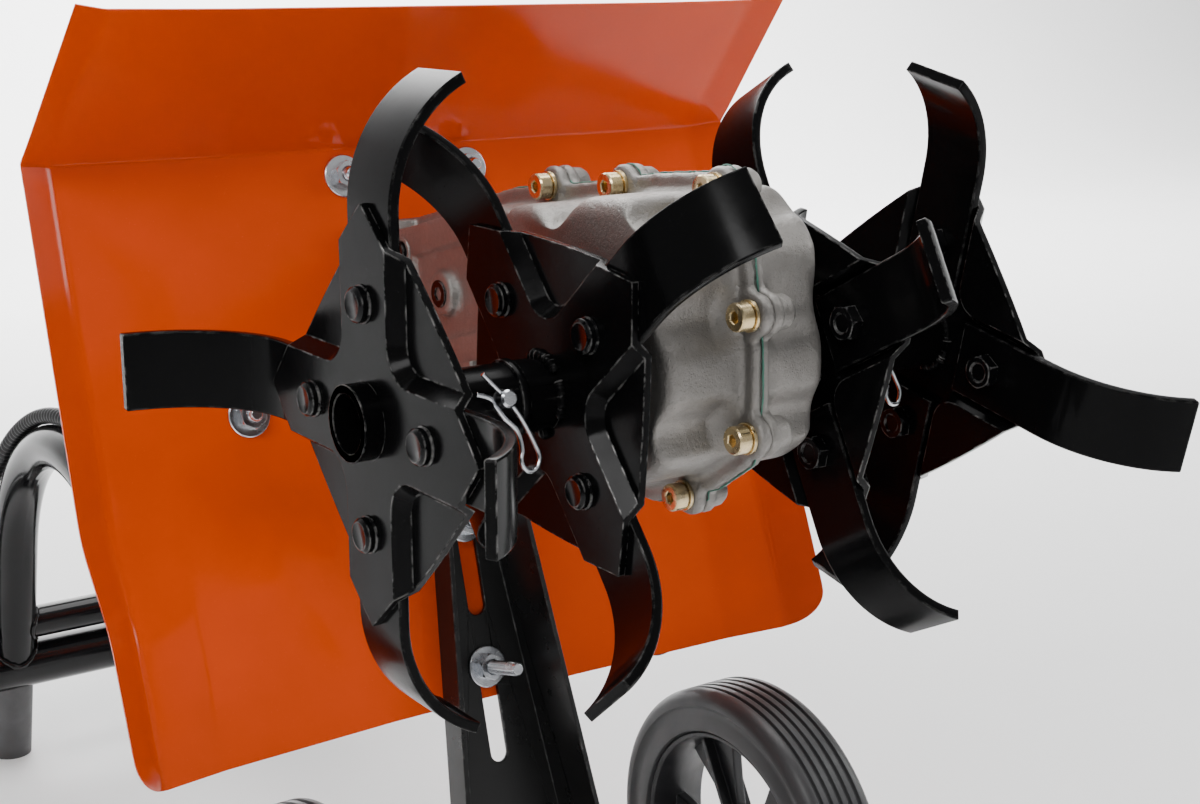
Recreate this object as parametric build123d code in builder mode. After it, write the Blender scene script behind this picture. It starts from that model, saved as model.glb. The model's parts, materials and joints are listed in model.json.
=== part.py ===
from build123d import *
import os
from math import cos, radians, sin

# A small petrol rotary tiller, tipped back for service: it stands nose up on its two
# transport wheels and on the rubber feet of its handlebar.
# Every piece is drawn in the machine's own frame: X along the tine shaft, +Y to the rear,
# +Z up, with the origin on the tine shaft at the middle. At the end of this file the whole
# machine is tipped back, set on the floor and centred, and each piece is written.

os.makedirs("parts", exist_ok=True)
pieces = {}

# ---------------------------------------------------------------- driving dimensions, mm
tip_back = 105.6          # degrees that the nose is raised in the stored attitude
seat_gap = 0.3            # between pieces on different bodies
running_fit = 0.05        # radial, shafts and pins that turn or slide in a bore
cut_over = 1.0            # how far a cut starts outside the face it goes through
case_half = 46.0          # half width of the gear case, which sets the tine reel's places
hub_rise = 7.0            # the case's shaft hub, out of its side wall

# tine reel
tube_od = 33.0
tube_bore = 25.0
shaft_d = tube_bore - 2 * running_fit
socket_bore = 25.4        # the outer tubes' open ends, for an extension
hub_room = 1.0            # from the case's hub to the inner tube
star_room = 30.0          # from the case's side wall to the inner star
star_pitch = 87.0         # from the inner star to the outer one
star_to_split = 16.0      # inner and outer tubes meet outside the inner star
tube_beyond = 9.0         # the outer tube stands out of the outer star
tube_start = case_half + hub_rise + hub_room
inner_star = case_half + star_room
outer_star = inner_star + star_pitch
tube_split = inner_star + star_to_split
tube_end = outer_star + tube_beyond
pin_d = 8.0
pin_head_d = 13.0
pin_head_h = 3.5
pin_head_gap = 0.5
pin_tail = 7.0
pin_at = (tube_start + 10.0, tube_split + 14.0)    # cross pins, distance from the middle
shaft_beyond = 6.0        # the shaft goes on past the outer pin's middle
shaft_end = pin_at[1] + shaft_beyond
shaft_chamfer = 1.5
star_sheet = 3.5
star_tip = 91.0           # radius of the pointed arm ends
star_waist = 67.0         # radius between the arms, where the outline is nearly straight
arm_half = 27.0           # half width of the raised arm at its foot
arm_rise = 7.0
arm_draft = 35.0          # degrees
arm_corner = 9.0
bolt_circle = 49.5        # radius of the blade bolts
bolt_d = 10.0
bolt_head_d = 16.0
bolt_head_h = 6.0
blade_width = 37.0
blade_thick = 5.0
blade_root = 30.0         # radius where a blade starts
blade_bend_from = 87.0
blade_bend_r = 60.0

# columns: name, x of the arm face, first arm's angle, sideways bend of each blade in turn;
# angles are in degrees, and a bend is positive towards +X
stars = [
    ("outer_right", -outer_star, -74.4, (-60, 66, -86, 64)),
    ("inner_right", -inner_star, -115.4, (62, -66, 66, -68)),
    ("inner_left", inner_star, -102.4, (-60, 68, -66, 70)),
    ("outer_left", outer_star, -62.4, (68, -58, 68, -56)),
]

# mudguard
guard_z = 229.0           # underside of the sheet
guard_sheet = 2.0
guard_wing = 165.0        # half width where the wings begin
guard_fold = 204.0        # half width where the turned-down strips begin
guard_half = 222.0
guard_front = -152.0      # fold line of the nose
guard_rear = 168.0
guard_corner = 22.0
nose_reach = 57.0
nose_fall = 89.0
nose_narrow = 9.0         # the nose is narrower at its front edge
# columns: y, half width of the level middle, then how far the wing line, the strip fold
# and the outer edge lie below it
guard_sections = [
    (guard_front, 136.0, 1.0, 3.0, 13.0),
    (40.0, 136.0, 1.0, 3.0, 14.0),
    (86.0, 100.0, 5.0, 16.0, 36.0),
    (guard_rear, 60.0, 12.0, 24.0, 45.0),
]

# chassis plate and the bolts that go through it
plate_thick = 5.0
plate_half = 150.0
plate_front = -150.0
plate_rear = 162.0
plate_corner = 12.0
frame_bolt_d = 8.0
frame_nut_r = 7.5
frame_nut_h = 6.5
frame_head_h = 5.5
frame_tail = 12.0         # a bolt's thread, below the face its washer seats on
washer_d = 24.0
washer_thick = 2.0
long_stud = 36.0
guard_bolts = [(-40.0, -136.6), (40.0, -136.6), (-118.0, -12.0), (118.0, -12.0)]
bracket_bolts = [(0.0, 65.8), (0.0, 149.9)]

# gear case
neck_half = 29.0          # narrow between the inner blades
flange_thick = 5.0        # each half of the split flange
case_inset = 8.0          # the case walls stand inside the flange edge
dome_draft = 9.0          # degrees
dome_rise = 4.0
case_round = 9.0
neck_from = 60.0
case_edge_round = 7.0
dome_r = 47.0
hub_r = 30.0
boss_r = 10.0
boss_rise = 1.5
case_bolt_head_d = 13.0
case_bolt_head_h = 9.0
head_room = 3.0           # around each bolt head, where the case wall comes close
foot_flange = 12.0
foot_reach = 12.0
recess_depth = 3.0
plug_at = (-60.0, 156.0)
plug_boss_r = 12.0
# all case points are (y, z)
case_bolts = [(-19.5, -67.7), (33.5, -52.9), (57.0, 0.4), (-77.0, -58.0), (-91.0, 14.0), (-101.5, 73.4)]
case_front = [(-109.0, guard_z), (-107.0, 112.0), (-98.0, 46.0), (-92.0, -12.0), (-84.0, -60.0)]
case_low = [(-48.0, -70.0), (-4.0, -65.0), (17.0, -60.0), (46.0, -47.0), (56.0, -18.0)]
case_back = [(60.0, 30.0), (46.0, 72.0), (34.0, 108.0), (34.0, guard_z)]

# wheels and their bracket
wheel_r = 100.0
wheel_width = 46.0
wheel_x = 146.0
axle_y = 290.4
axle_drop = 27.5          # below the mudguard
axle_d = 12.0
axle_collar_d = 20.0
tyre_bore_r = 74.0
rim_wall = 5.0
tyre_shoulder = 7.0
rim_inset = 3.0           # the rim is narrower than the tyre at each side
rim_web = 6.0
window_at = 44.0          # the openings between the spokes
window_length = 18.0
window_width = 26.0
hub_od = 34.0
hub_length = 46.0
axle_beyond = 4.0
retainer_thick = 6.0
spokes = 5
channel_sheet = 3.0
channel_start = 50.0
channel_end = 306.0
channel_half_start = 18.0
channel_half_end = 43.0
flange_shallow = 19.0
flange_deep = 44.0
flange_grows = (60.0, 12.0)    # ahead of the axle, where the flanges deepen
slot_width = 11.0
slots = [(60.0, 120.0), (144.0, 205.0)]

# handlebar
column_od = 32.0
column_wall = 2.0
column_tail = 26.0        # below the pivot
knee_at = 60.0            # above the pivot, where the columns turn inward
straight_at = 150.0       # above the knee, where they are upright again
knee_r = 90.0
pivot_x = 150.0
pivot_y = 150.0
pivot_rise = 46.0         # above the chassis plate
pivot_bolt_d = 10.0
ear_thick = 5.0
ear_r = 15.0
ear_foot = 30.0
ear_shift = 6.0           # the ears lean back to their pivot
ear_flare = 4.0           # and are wider at their foot
knob_d = 34.0
knob_thick = 14.0
pivot_head = 6.0
column_x = 117.0
bend_y = -72.0
bend_z = 635.0
bend_r = 150.0
junction_y = 149.0
junction_z = 773.0
bar_od = 37.0
bar_wall = 2.0
bar_half = 290.0
horn_bend_r = 60.0
horn_back = 0.2           # the horns run down and back, per unit of width
horn_up = 0.307
brace_od = 25.0
brace_back = 38.0         # along the column from the grip bar
foot_od = 30.0
foot_stock = 140.0        # before it is cut off level with the floor
grip_od = 44.0
lever_clamp = 18.0        # width of the clamp that carries a lever
lever_gap = 3.0
lever_share = 0.85        # of the grip, that a lever runs along
lever_reach = 46.0        # from the bar's middle to the lever's
lever_thick = 7.0
lever_width = 16.0
conduit_od = 12.0
conduit_off = 24.0        # from the column's middle line to the conduit's
conduit_start = 0.15      # share of the column's slanted run
clip_share = 0.4
clip_below_bend = 178.0
clip_sheet = 2.0
clip_width = 14.0

# engine
base_half = 84.0
base_front = -80.0
base_rear = 54.0
base_thick = 14.0
base_corner = 20.0
crank_half = 74.0
crank_front = -66.0
crank_rear = 76.0
crank_height = 95.0
crank_corner = 24.0
fin_count = 8
fin_pitch = 9.0
fin_thick = 3.0
fin_half = 52.0
fin_up = (8.0, 90.0)      # lowest and highest edge, above the engine base
fin_corner = 12.0
tank_up = 16.0
tank_below_top = 5.0
tank_half = 82.0
tank_depth = 58.0
tank_corner = 14.0
tank_round = 8.0
cap_r = 13.0
cap_edge = 6.0
cap_h = 12.0
bore_r = 32.0
blower_y = 5.0
muffler_up = 50.0         # its middle, above the engine base
muffler_y = -16.0
muffler_size = (74.0, 60.0)
muffler_deep = 52.0
cleaner_up = 52.0
cleaner_y = -6.0
cleaner_size = (86.0, 70.0)
cleaner_deep = 56.0
cover_round = 12.0
cover_edge = 10.0
blower_r = 100.0
blower_h = 52.0
blower_round = 16.0
recoil_r = 80.0
recoil_h = 34.0
recoil_round = 14.0

# heights that follow from the above
plate_z = guard_z + guard_sheet
deck_z = plate_z + plate_thick
base_z = deck_z + base_thick
crank_top = base_z + crank_height
axle_z = guard_z - axle_drop
pivot_z = deck_z + pivot_rise


def keep(name, builder):
    """Put a finished piece on the list of pieces."""
    builder.part.label = name
    pieces[name] = builder.part


def across(x):
    """A plane square to the tine shaft: its own x is the machine's Y, its own y is Z."""
    return Plane(origin=(x, 0, 0), x_dir=(0, 1, 0), z_dir=(1, 0, 0))


# ---------------------------------------------------------------- tine reel
with BuildPart() as output_shaft:
    with BuildSketch(across(-shaft_end)):
        Circle(shaft_d / 2)
    extrude(amount=2 * shaft_end)
    chamfer(output_shaft.edges().filter_by(GeomType.CIRCLE), shaft_chamfer)
    with BuildSketch(Plane.XY):
        with Locations(*[(s * x, 0) for s in (-1, 1) for x in pin_at]):
            Circle(pin_d / 2 + running_fit)
    extrude(amount=tube_od, both=True, mode=Mode.SUBTRACT)
keep("output_shaft", output_shaft)

for side, side_name in ((-1, "right"), (1, "left")):
    for start, end, pin_x, tube_name in (
        (tube_start, tube_split - running_fit, pin_at[0], "tine_tube_inner"),
        (tube_split, tube_end, pin_at[1], "tine_tube_outer"),
    ):
        with BuildPart() as tine_tube:
            with BuildSketch(across(side * start)):
                Circle(tube_od / 2)
                Circle(tube_bore / 2, mode=Mode.SUBTRACT)
            extrude(amount=side * (end - start))
            with BuildSketch(Plane.XY):
                with Locations((side * pin_x, 0)):
                    Circle(pin_d / 2 + running_fit)
            extrude(amount=tube_od, both=True, mode=Mode.SUBTRACT)
            if end == tube_end:
                with BuildSketch(across(side * shaft_end)):
                    Circle(socket_bore / 2)
                extrude(amount=side * tube_end, mode=Mode.SUBTRACT)
        keep(f"{tube_name}_{side_name}", tine_tube)

with BuildPart() as tine_pins:
    with BuildSketch(Plane.XY.offset(-tube_od / 2 - pin_tail)):
        with Locations(*[(s * x, 0) for s in (-1, 1) for x in pin_at]):
            Circle(pin_d / 2)
    extrude(amount=tube_od + pin_tail + pin_head_gap)
    with BuildSketch(Plane.XY.offset(tube_od / 2 + pin_head_gap)):
        with Locations(*[(s * x, 0) for s in (-1, 1) for x in pin_at]):
            Circle(pin_head_d / 2)
    extrude(amount=pin_head_h)
keep("tine_pins", tine_pins)


def star_plate(x, out, phase):
    """A pressed four-armed plate: `out` is the side that its arms are raised to."""
    back = across(x - out * (arm_rise + star_sheet))
    height = arm_rise + star_sheet
    corners = [(star_tip * cos(radians(90 * n)), star_tip * sin(radians(90 * n))) for n in range(4)]
    between = [radians(90 * n + 45) for n in range(4)]
    waists = [(star_waist * cos(turn), star_waist * sin(turn)) for turn in between]
    with BuildPart() as plate:
        with BuildSketch(back):
            Circle(star_tip + arm_corner)
        extrude(amount=out * star_sheet)
        with BuildSketch(back) as raised:
            Rectangle(4 * star_tip, 2 * arm_half, rotation=phase)
            Rectangle(4 * star_tip, 2 * arm_half, rotation=phase + 90)
            fillet(raised.vertices().group_by(lambda v: v.center().length)[0], arm_corner)
        extrude(amount=out * height, taper=arm_draft)
        with BuildSketch(back) as pocket:
            Rectangle(4 * star_tip, 2 * (arm_half - star_sheet), rotation=phase)
            Rectangle(4 * star_tip, 2 * (arm_half - star_sheet), rotation=phase + 90)
            fillet(pocket.vertices().group_by(lambda v: v.center().length)[0], arm_corner + star_sheet)
        extrude(amount=out * arm_rise, taper=arm_draft, mode=Mode.SUBTRACT)
        with BuildSketch(back):
            with Locations(Rotation(0, 0, phase)):
                with BuildSketch(mode=Mode.PRIVATE) as outline:
                    with BuildLine():
                        for n in range(4):
                            ThreePointArc(corners[n], waists[n], corners[(n + 1) % 4])
                    make_face()
                add(outline.sketch)
        extrude(amount=out * height, mode=Mode.INTERSECT)
        with BuildSketch(back):
            Circle(tube_od / 2 + running_fit)
            with PolarLocations(bolt_circle, 4, start_angle=phase):
                Circle(bolt_d / 2 + running_fit)
        extrude(amount=out * height, mode=Mode.SUBTRACT)
    return plate


def blade(face_x, angle, bend):
    """A flat bar from the pocket of an arm outward, with its end bent sideways."""
    radial = Vector(0, cos(radians(angle)), sin(radians(angle)))
    sketch_plane = Plane(origin=(face_x, 0, 0), x_dir=radial, z_dir=radial.cross(Vector(1, 0, 0)))
    turn = bend if sketch_plane.y_dir.X > 0 else -bend
    with BuildPart() as bar:
        with BuildSketch(sketch_plane):
            with BuildLine():
                run = Line((blade_root, 0), (blade_bend_from, 0))
                JernArc(run @ 1, run % 1, blade_bend_r, turn)
            trace(line_width=blade_thick)
        extrude(amount=blade_width / 2, both=True)
    return bar


for name, x, phase, bends in stars:
    out = 1 if x > 0 else -1
    keep(f"star_{name}", star_plate(x, out, phase))
    blade_x = x - out * (star_sheet + blade_thick / 2)
    with BuildPart() as blades:
        for n in range(4):
            add(blade(blade_x, phase + 90 * n, bends[n]).part)
        with BuildSketch(across(blade_x - blade_thick)):
            with PolarLocations(bolt_circle, 4, start_angle=phase):
                Circle(bolt_d / 2 + running_fit)
        extrude(amount=2 * blade_thick, mode=Mode.SUBTRACT)
    keep(f"blades_{name}", blades)

with BuildPart() as blade_bolts:
    for name, x, phase, bends in stars:
        out = 1 if x > 0 else -1
        nut_seat = x - out * (star_sheet + blade_thick)
        with BuildSketch(across(x)):
            with PolarLocations(bolt_circle, 4, start_angle=phase):
                Circle(bolt_head_d / 2)
        extrude(amount=out * bolt_head_h)
        with BuildSketch(across(x)):
            with PolarLocations(bolt_circle, 4, start_angle=phase):
                Circle(bolt_d / 2)
        extrude(amount=nut_seat - x)
        with BuildSketch(across(nut_seat)):
            with PolarLocations(bolt_circle, 4, start_angle=phase):
                RegularPolygon(bolt_head_d / 2, 6)
        extrude(amount=-out * bolt_head_h)
keep("blade_bolts", blade_bolts)

# ---------------------------------------------------------------- mudguard and chassis
def guard_section(y, drop, flat, falls, narrow):
    """One cross section of the mudguard: a thin roof that steps down to its outer edges."""
    wing_fall, fold_fall, edge_fall = falls
    right_side = [
        (flat, 0),
        (guard_wing - narrow, -wing_fall),
        (guard_fold - narrow, -fold_fall),
        (guard_half - narrow, -edge_fall),
    ]
    under = [(-px, pz) for px, pz in reversed(right_side)] + right_side
    top = [(px, pz + guard_sheet) for px, pz in reversed(under)]
    with BuildSketch(Plane(origin=(0, y, guard_z - drop), x_dir=(1, 0, 0), z_dir=(0, -1, 0))) as section:
        Polygon(*under, *top, align=None)
    return section.sketch


with BuildPart() as mudguard:
    for first, second in zip(guard_sections, guard_sections[1:]):
        add(guard_section(first[0], 0, first[1], first[2:], 0))
        add(guard_section(second[0], 0, second[1], second[2:], 0))
        loft(ruled=True)
    flat, *falls = guard_sections[0][1:]
    add(guard_section(guard_front - nose_reach, nose_fall, flat, falls, nose_narrow))
    add(guard_section(guard_front, 0, flat, falls, 0))
    loft(ruled=True)
    with BuildSketch(Plane.XY.offset(guard_z - nose_fall)) as trimmed:
        with Locations((0, (guard_front - nose_reach + guard_rear) / 2)):
            Rectangle(2 * guard_half, guard_rear - guard_front + nose_reach)
        fillet(trimmed.vertices().group_by(Axis.Y)[-1], guard_corner)
    extrude(amount=2 * nose_fall, both=True, mode=Mode.INTERSECT)
    with BuildSketch(Plane.XY.offset(guard_z - cut_over)):
        with Locations(*guard_bolts, *bracket_bolts):
            Circle(frame_bolt_d / 2 + running_fit)
    extrude(amount=guard_sheet + 2 * cut_over, mode=Mode.SUBTRACT)
keep("mudguard", mudguard)

with BuildPart() as chassis_plate:
    with BuildSketch(Plane.XY.offset(plate_z)) as blank:
        with Locations((0, (plate_front + plate_rear) / 2)):
            Rectangle(2 * plate_half, plate_rear - plate_front)
        chamfer(blank.vertices(), plate_corner)
        with Locations(*guard_bolts, *bracket_bolts):
            Circle(frame_bolt_d / 2 + running_fit, mode=Mode.SUBTRACT)
    extrude(amount=plate_thick)
keep("chassis_plate", chassis_plate)

with BuildPart() as chassis_bolts:
    for points, seat, tail in (
        (guard_bolts, guard_z, frame_tail),
        (bracket_bolts[:1], guard_z - channel_sheet, frame_tail),
        (bracket_bolts[1:], guard_z - channel_sheet, long_stud),
    ):
        with BuildSketch(Plane.XY.offset(seat - tail)):
            with Locations(*points):
                Circle(frame_bolt_d / 2)
        extrude(amount=plate_z + plate_thick - seat + tail)
        with BuildSketch(Plane.XY.offset(seat)):
            with Locations(*points):
                Circle(washer_d / 2)
        extrude(amount=-washer_thick)
        with BuildSketch(Plane.XY.offset(seat)):
            with Locations(*points):
                RegularPolygon(frame_nut_r, 6)
        extrude(amount=-washer_thick - frame_nut_h)
        with BuildSketch(Plane.XY.offset(plate_z + plate_thick)):
            with Locations(*points):
                RegularPolygon(frame_nut_r, 6)
        extrude(amount=frame_head_h)
keep("chassis_bolts", chassis_bolts)


# ---------------------------------------------------------------- gear case
def case_outline(inset):
    """The side outline of the gear case, drawn in by an inset everywhere but at its top."""
    front, back = case_front[0][0], case_back[-1][0]
    with BuildSketch() as outline:
        Polygon(*case_front, *case_low, *case_back, align=None)
        fillet(outline.vertices().sort_by(Axis.Y)[:-2], case_edge_round)
        if inset:
            offset(amount=-inset)
            with Locations(((front + back) / 2, guard_z - inset)):
                Rectangle(back - front - 2 * inset, 2 * inset)
    return outline.sketch


neck_front, neck_rear = case_front[0][0], case_back[-1][0]
for side_name, side in (("right", -1), ("left", 1)):
    with BuildPart() as gear_case:
        with BuildSketch(across(0)):
            add(case_outline(case_inset))
            with Locations((0, neck_from + case_half * 5)):
                Rectangle(case_half * 10, case_half * 10, mode=Mode.SUBTRACT)
        extrude(amount=side * case_half)
        fillet(gear_case.faces().sort_by(Axis.X)[0 if side < 0 else -1].edges(), case_round)
        with BuildSketch(across(0)):
            add(case_outline(case_inset))
        extrude(amount=side * neck_half)
        with BuildSketch(across(0)):
            Circle(dome_r)
        extrude(amount=side * (case_half + dome_rise), taper=dome_draft)
        with BuildSketch(across(0)):
            Circle(hub_r)
        extrude(amount=side * (case_half + hub_rise))
        with BuildSketch(across(side * (flange_thick + boss_rise))):
            with Locations(*case_bolts):
                Circle(case_bolt_head_d / 2 + head_room)
        extrude(amount=side * case_half, mode=Mode.SUBTRACT)
        with BuildSketch(across(0)):
            add(case_outline(0))
        extrude(amount=side * flange_thick)
        with BuildSketch(across(0)):
            with Locations(*case_bolts):
                Circle(boss_r)
        extrude(amount=side * (flange_thick + boss_rise))
        with BuildSketch(across(0)):
            with Locations(((neck_front + neck_rear) / 2, guard_z - foot_flange / 2)):
                Rectangle(neck_rear - neck_front, foot_flange)
        extrude(amount=side * (neck_half + foot_reach))
        with BuildSketch(across(side * neck_half)):
            with Locations(plug_at):
                Rectangle(4 * plug_boss_r, 5 * plug_boss_r)
        extrude(amount=-side * recess_depth, mode=Mode.SUBTRACT)
        with BuildSketch(across(side * (neck_half - recess_depth))):
            with Locations(plug_at):
                Circle(plug_boss_r)
        extrude(amount=side * recess_depth * 2)
        with BuildSketch(across(0)):
            Circle(shaft_d / 2 + running_fit)
        extrude(amount=side * 2 * case_half, mode=Mode.SUBTRACT)
    keep(f"gear_case_{side_name}", gear_case)

with BuildPart() as gear_case_bolts:
    for side in (-1, 1):
        with BuildSketch(across(side * (flange_thick + boss_rise))):
            with Locations(*case_bolts):
                Circle(case_bolt_head_d / 2)
        extrude(amount=side * case_bolt_head_h)
keep("gear_case_bolts", gear_case_bolts)


# ---------------------------------------------------------------- wheels and their bracket
def channel_half(y):
    """Half width of the tapered channel at a distance along it."""
    share = (y - channel_start) / (channel_end - channel_start)
    return channel_half_start + share * (channel_half_end - channel_half_start)


with BuildPart() as wheel_bracket:
    with BuildSketch(Plane.XY.offset(guard_z)):
        Polygon((-channel_half_start, channel_start), (channel_half_start, channel_start),
                (channel_half_end, channel_end), (-channel_half_end, channel_end), align=None)
    extrude(amount=-flange_deep)
    with BuildSketch(Plane.XY.offset(guard_z - channel_sheet)):
        Polygon((-channel_half_start + channel_sheet, channel_start - cut_over),
                (channel_half_start - channel_sheet, channel_start - cut_over),
                (channel_half_end - channel_sheet, channel_end + cut_over),
                (-channel_half_end + channel_sheet, channel_end + cut_over), align=None)
    extrude(amount=-flange_deep, mode=Mode.SUBTRACT)
    with BuildSketch(across(0)):
        Polygon((channel_start - cut_over, guard_z - flange_shallow),
                (axle_y - flange_grows[0], guard_z - flange_shallow),
                (axle_y - flange_grows[1], guard_z - flange_deep),
                (axle_y - flange_grows[1], guard_z - flange_deep - cut_over),
                (channel_start - cut_over, guard_z - flange_deep - cut_over), align=None)
    extrude(amount=-channel_half_end, mode=Mode.SUBTRACT)
    with BuildSketch(Plane.XY.offset(guard_z)):
        for first, last in slots:
            with Locations((0, (first + last) / 2)):
                SlotOverall(last - first, slot_width, rotation=90)
    extrude(amount=-2 * channel_sheet, mode=Mode.SUBTRACT)
    with BuildSketch(across(-channel_half_end)):
        with Locations((axle_y, axle_z)):
            Circle(axle_d / 2 + running_fit)
    extrude(amount=2 * channel_half_end, mode=Mode.SUBTRACT)
keep("wheel_bracket", wheel_bracket)

axle_end = wheel_x + hub_length / 2 + axle_beyond
hub_seat = wheel_x - hub_length / 2 - seat_gap
collar_seat = channel_half(axle_y + axle_collar_d / 2) + seat_gap
with BuildPart() as wheel_axle:
    with BuildSketch(across(-axle_end)):
        with Locations((axle_y, axle_z)):
            Circle(axle_d / 2)
    extrude(amount=2 * axle_end)
    for side in (-1, 1):
        with BuildSketch(across(side * collar_seat)):
            with Locations((axle_y, axle_z)):
                Circle(axle_collar_d / 2)
        extrude(amount=side * (hub_seat - collar_seat))
        with BuildSketch(across(side * (wheel_x + hub_length / 2 + seat_gap))):
            with Locations((axle_y, axle_z)):
                Circle(axle_collar_d / 2)
        extrude(amount=side * retainer_thick)
keep("wheel_axle", wheel_axle)

for side_name, side in (("right", -1), ("left", 1)):
    middle = Plane(origin=(side * wheel_x, axle_y, axle_z), x_dir=(0, 1, 0), z_dir=(1, 0, 0))
    section = Plane(origin=(side * wheel_x, axle_y, axle_z), x_dir=(1, 0, 0), z_dir=(0, -1, 0))
    hub_axis = Axis((side * wheel_x, axle_y, axle_z), (1, 0, 0))
    with BuildPart() as tyre:
        with BuildSketch(section) as profile:
            with Locations((0, (wheel_r + tyre_bore_r) / 2)):
                Rectangle(wheel_width, wheel_r - tyre_bore_r)
            fillet(profile.vertices().sort_by(Axis.Y)[-2:], tyre_shoulder)
        revolve(axis=hub_axis)
    keep(f"tyre_{side_name}", tyre)
    with BuildPart() as rim:
        with BuildSketch(middle.offset(-wheel_width / 2 + rim_inset)):
            Circle(tyre_bore_r)
            Circle(tyre_bore_r - rim_wall, mode=Mode.SUBTRACT)
        extrude(amount=wheel_width - 2 * rim_inset)
        with BuildSketch(middle.offset(-rim_web / 2)):
            Circle(tyre_bore_r - rim_wall / 5)
            with PolarLocations(window_at, spokes):
                SlotCenterToCenter(window_length, window_width, rotation=90, mode=Mode.SUBTRACT)
        extrude(amount=rim_web)
        with BuildSketch(middle.offset(-hub_length / 2)):
            Circle(hub_od / 2)
        extrude(amount=hub_length)
        with BuildSketch(middle.offset(-hub_length / 2)):
            Circle(axle_d / 2 + running_fit)
        extrude(amount=hub_length, mode=Mode.SUBTRACT)
    keep(f"rim_{side_name}", rim)

# ---------------------------------------------------------------- handlebar
lean = Vector(0, bend_y - pivot_y, bend_z - pivot_z).normalized()
reach = Vector(0, junction_y - bend_y, junction_z - bend_z).normalized()
down = (sin(radians(tip_back)), -cos(radians(tip_back)))
floor = Plane(origin=(0, axle_y + wheel_r * down[0], axle_z + wheel_r * down[1]), z_dir=(0, down[0], down[1]))

for side_name, side in (("right", -1), ("left", 1)):
    pivot = Vector(side * pivot_x, pivot_y, pivot_z)
    base = pivot - lean * column_tail
    knee = pivot + lean * knee_at
    straight = Vector(side * column_x, knee.Y, knee.Z) + lean * straight_at
    bend = Vector(side * column_x, bend_y, bend_z)
    junction = Vector(side * column_x, junction_y, junction_z)
    with BuildPart() as column:
        with BuildLine() as route:
            FilletPolyline(base, knee, straight, bend, junction, radius=[knee_r, knee_r, bend_r])
        with BuildSketch(Plane(origin=route.line @ 0, z_dir=route.line % 0)):
            Circle(column_od / 2)
            Circle(column_od / 2 - column_wall, mode=Mode.SUBTRACT)
        sweep(path=route.line)
        with BuildSketch(across(side * (column_x - column_od))):
            with Locations((junction_y, junction_z)):
                Circle(bar_od / 2 + running_fit)
        extrude(amount=side * 2 * column_od, mode=Mode.SUBTRACT)
        with BuildSketch(across(side * (pivot_x - column_od))):
            with Locations((pivot_y, pivot_z)):
                Circle(pivot_bolt_d / 2 + running_fit)
        extrude(amount=side * 2 * column_od, mode=Mode.SUBTRACT)
    keep(f"column_{side_name}", column)
    with BuildPart() as foot:
        with BuildSketch(Plane(origin=junction, z_dir=reach)):
            Circle(foot_od / 2)
        extrude(amount=foot_stock)
        with BuildSketch(across(side * (column_x - column_od))):
            with Locations((junction_y, junction_z)):
                Circle(bar_od / 2 + running_fit)
        extrude(amount=side * 2 * column_od, mode=Mode.SUBTRACT)
        split(bisect_by=floor, keep=Keep.BOTTOM)
    keep(f"foot_{side_name}", foot)

horn_rise = Vector(0, -horn_back, horn_up)
horn_from = column_x + column_od / 2 + horn_bend_r / 4
horn_slant = (1 + horn_rise.length**2) ** 0.5
horn_bend = horn_bend_r * horn_rise.length / (1 + horn_slant)
grip_length = (bar_half - horn_from) * horn_slant - horn_bend - lever_clamp - 2 * lever_gap
with BuildPart() as grip_bar:
    with BuildLine() as route:
        junction = Vector(0, junction_y, junction_z)
        horn = [junction + Vector(s * bar_half, 0, 0) + horn_rise * (bar_half - horn_from) for s in (-1, 1)]
        knee = [junction + Vector(s * horn_from, 0, 0) for s in (-1, 1)]
        FilletPolyline(horn[0], knee[0], knee[1], horn[1], radius=horn_bend_r)
    with BuildSketch(Plane(origin=route.line @ 0, z_dir=route.line % 0)):
        Circle(bar_od / 2)
        Circle(bar_od / 2 - bar_wall, mode=Mode.SUBTRACT)
    sweep(path=route.line)
keep("grip_bar", grip_bar)

with BuildPart() as grips:
    for end in (0, 1):
        inward = (route.line % end) * (1 if end == 0 else -1)
        with BuildSketch(Plane(origin=route.line @ end, z_dir=inward)):
            Circle(grip_od / 2)
            Circle(bar_od / 2 + running_fit, mode=Mode.SUBTRACT)
        extrude(amount=grip_length)
keep("grips", grips)

lever_clamps = []
with BuildPart() as levers:
    for end, turn in ((0, 1), (1, -1)):
        inward = (route.line % end) * turn
        seat = route.line @ end + inward * (grip_length + lever_gap)
        clamp = Plane(origin=seat, x_dir=(0, 0, turn), z_dir=inward)
        lever_clamps.append(clamp)
        with BuildSketch(clamp):
            Circle(grip_od / 2)
            with Locations((0, lever_reach / 2)):
                Rectangle(grip_od / 2, lever_reach)
            Circle(bar_od / 2 + running_fit, mode=Mode.SUBTRACT)
        extrude(amount=lever_clamp)
        with BuildSketch(clamp.offset(lever_clamp)):
            with Locations((0, lever_reach)):
                RectangleRounded(lever_width, lever_thick, lever_thick / 3)
        extrude(amount=-lever_clamp - grip_length * lever_share)
keep("levers", levers)

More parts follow.
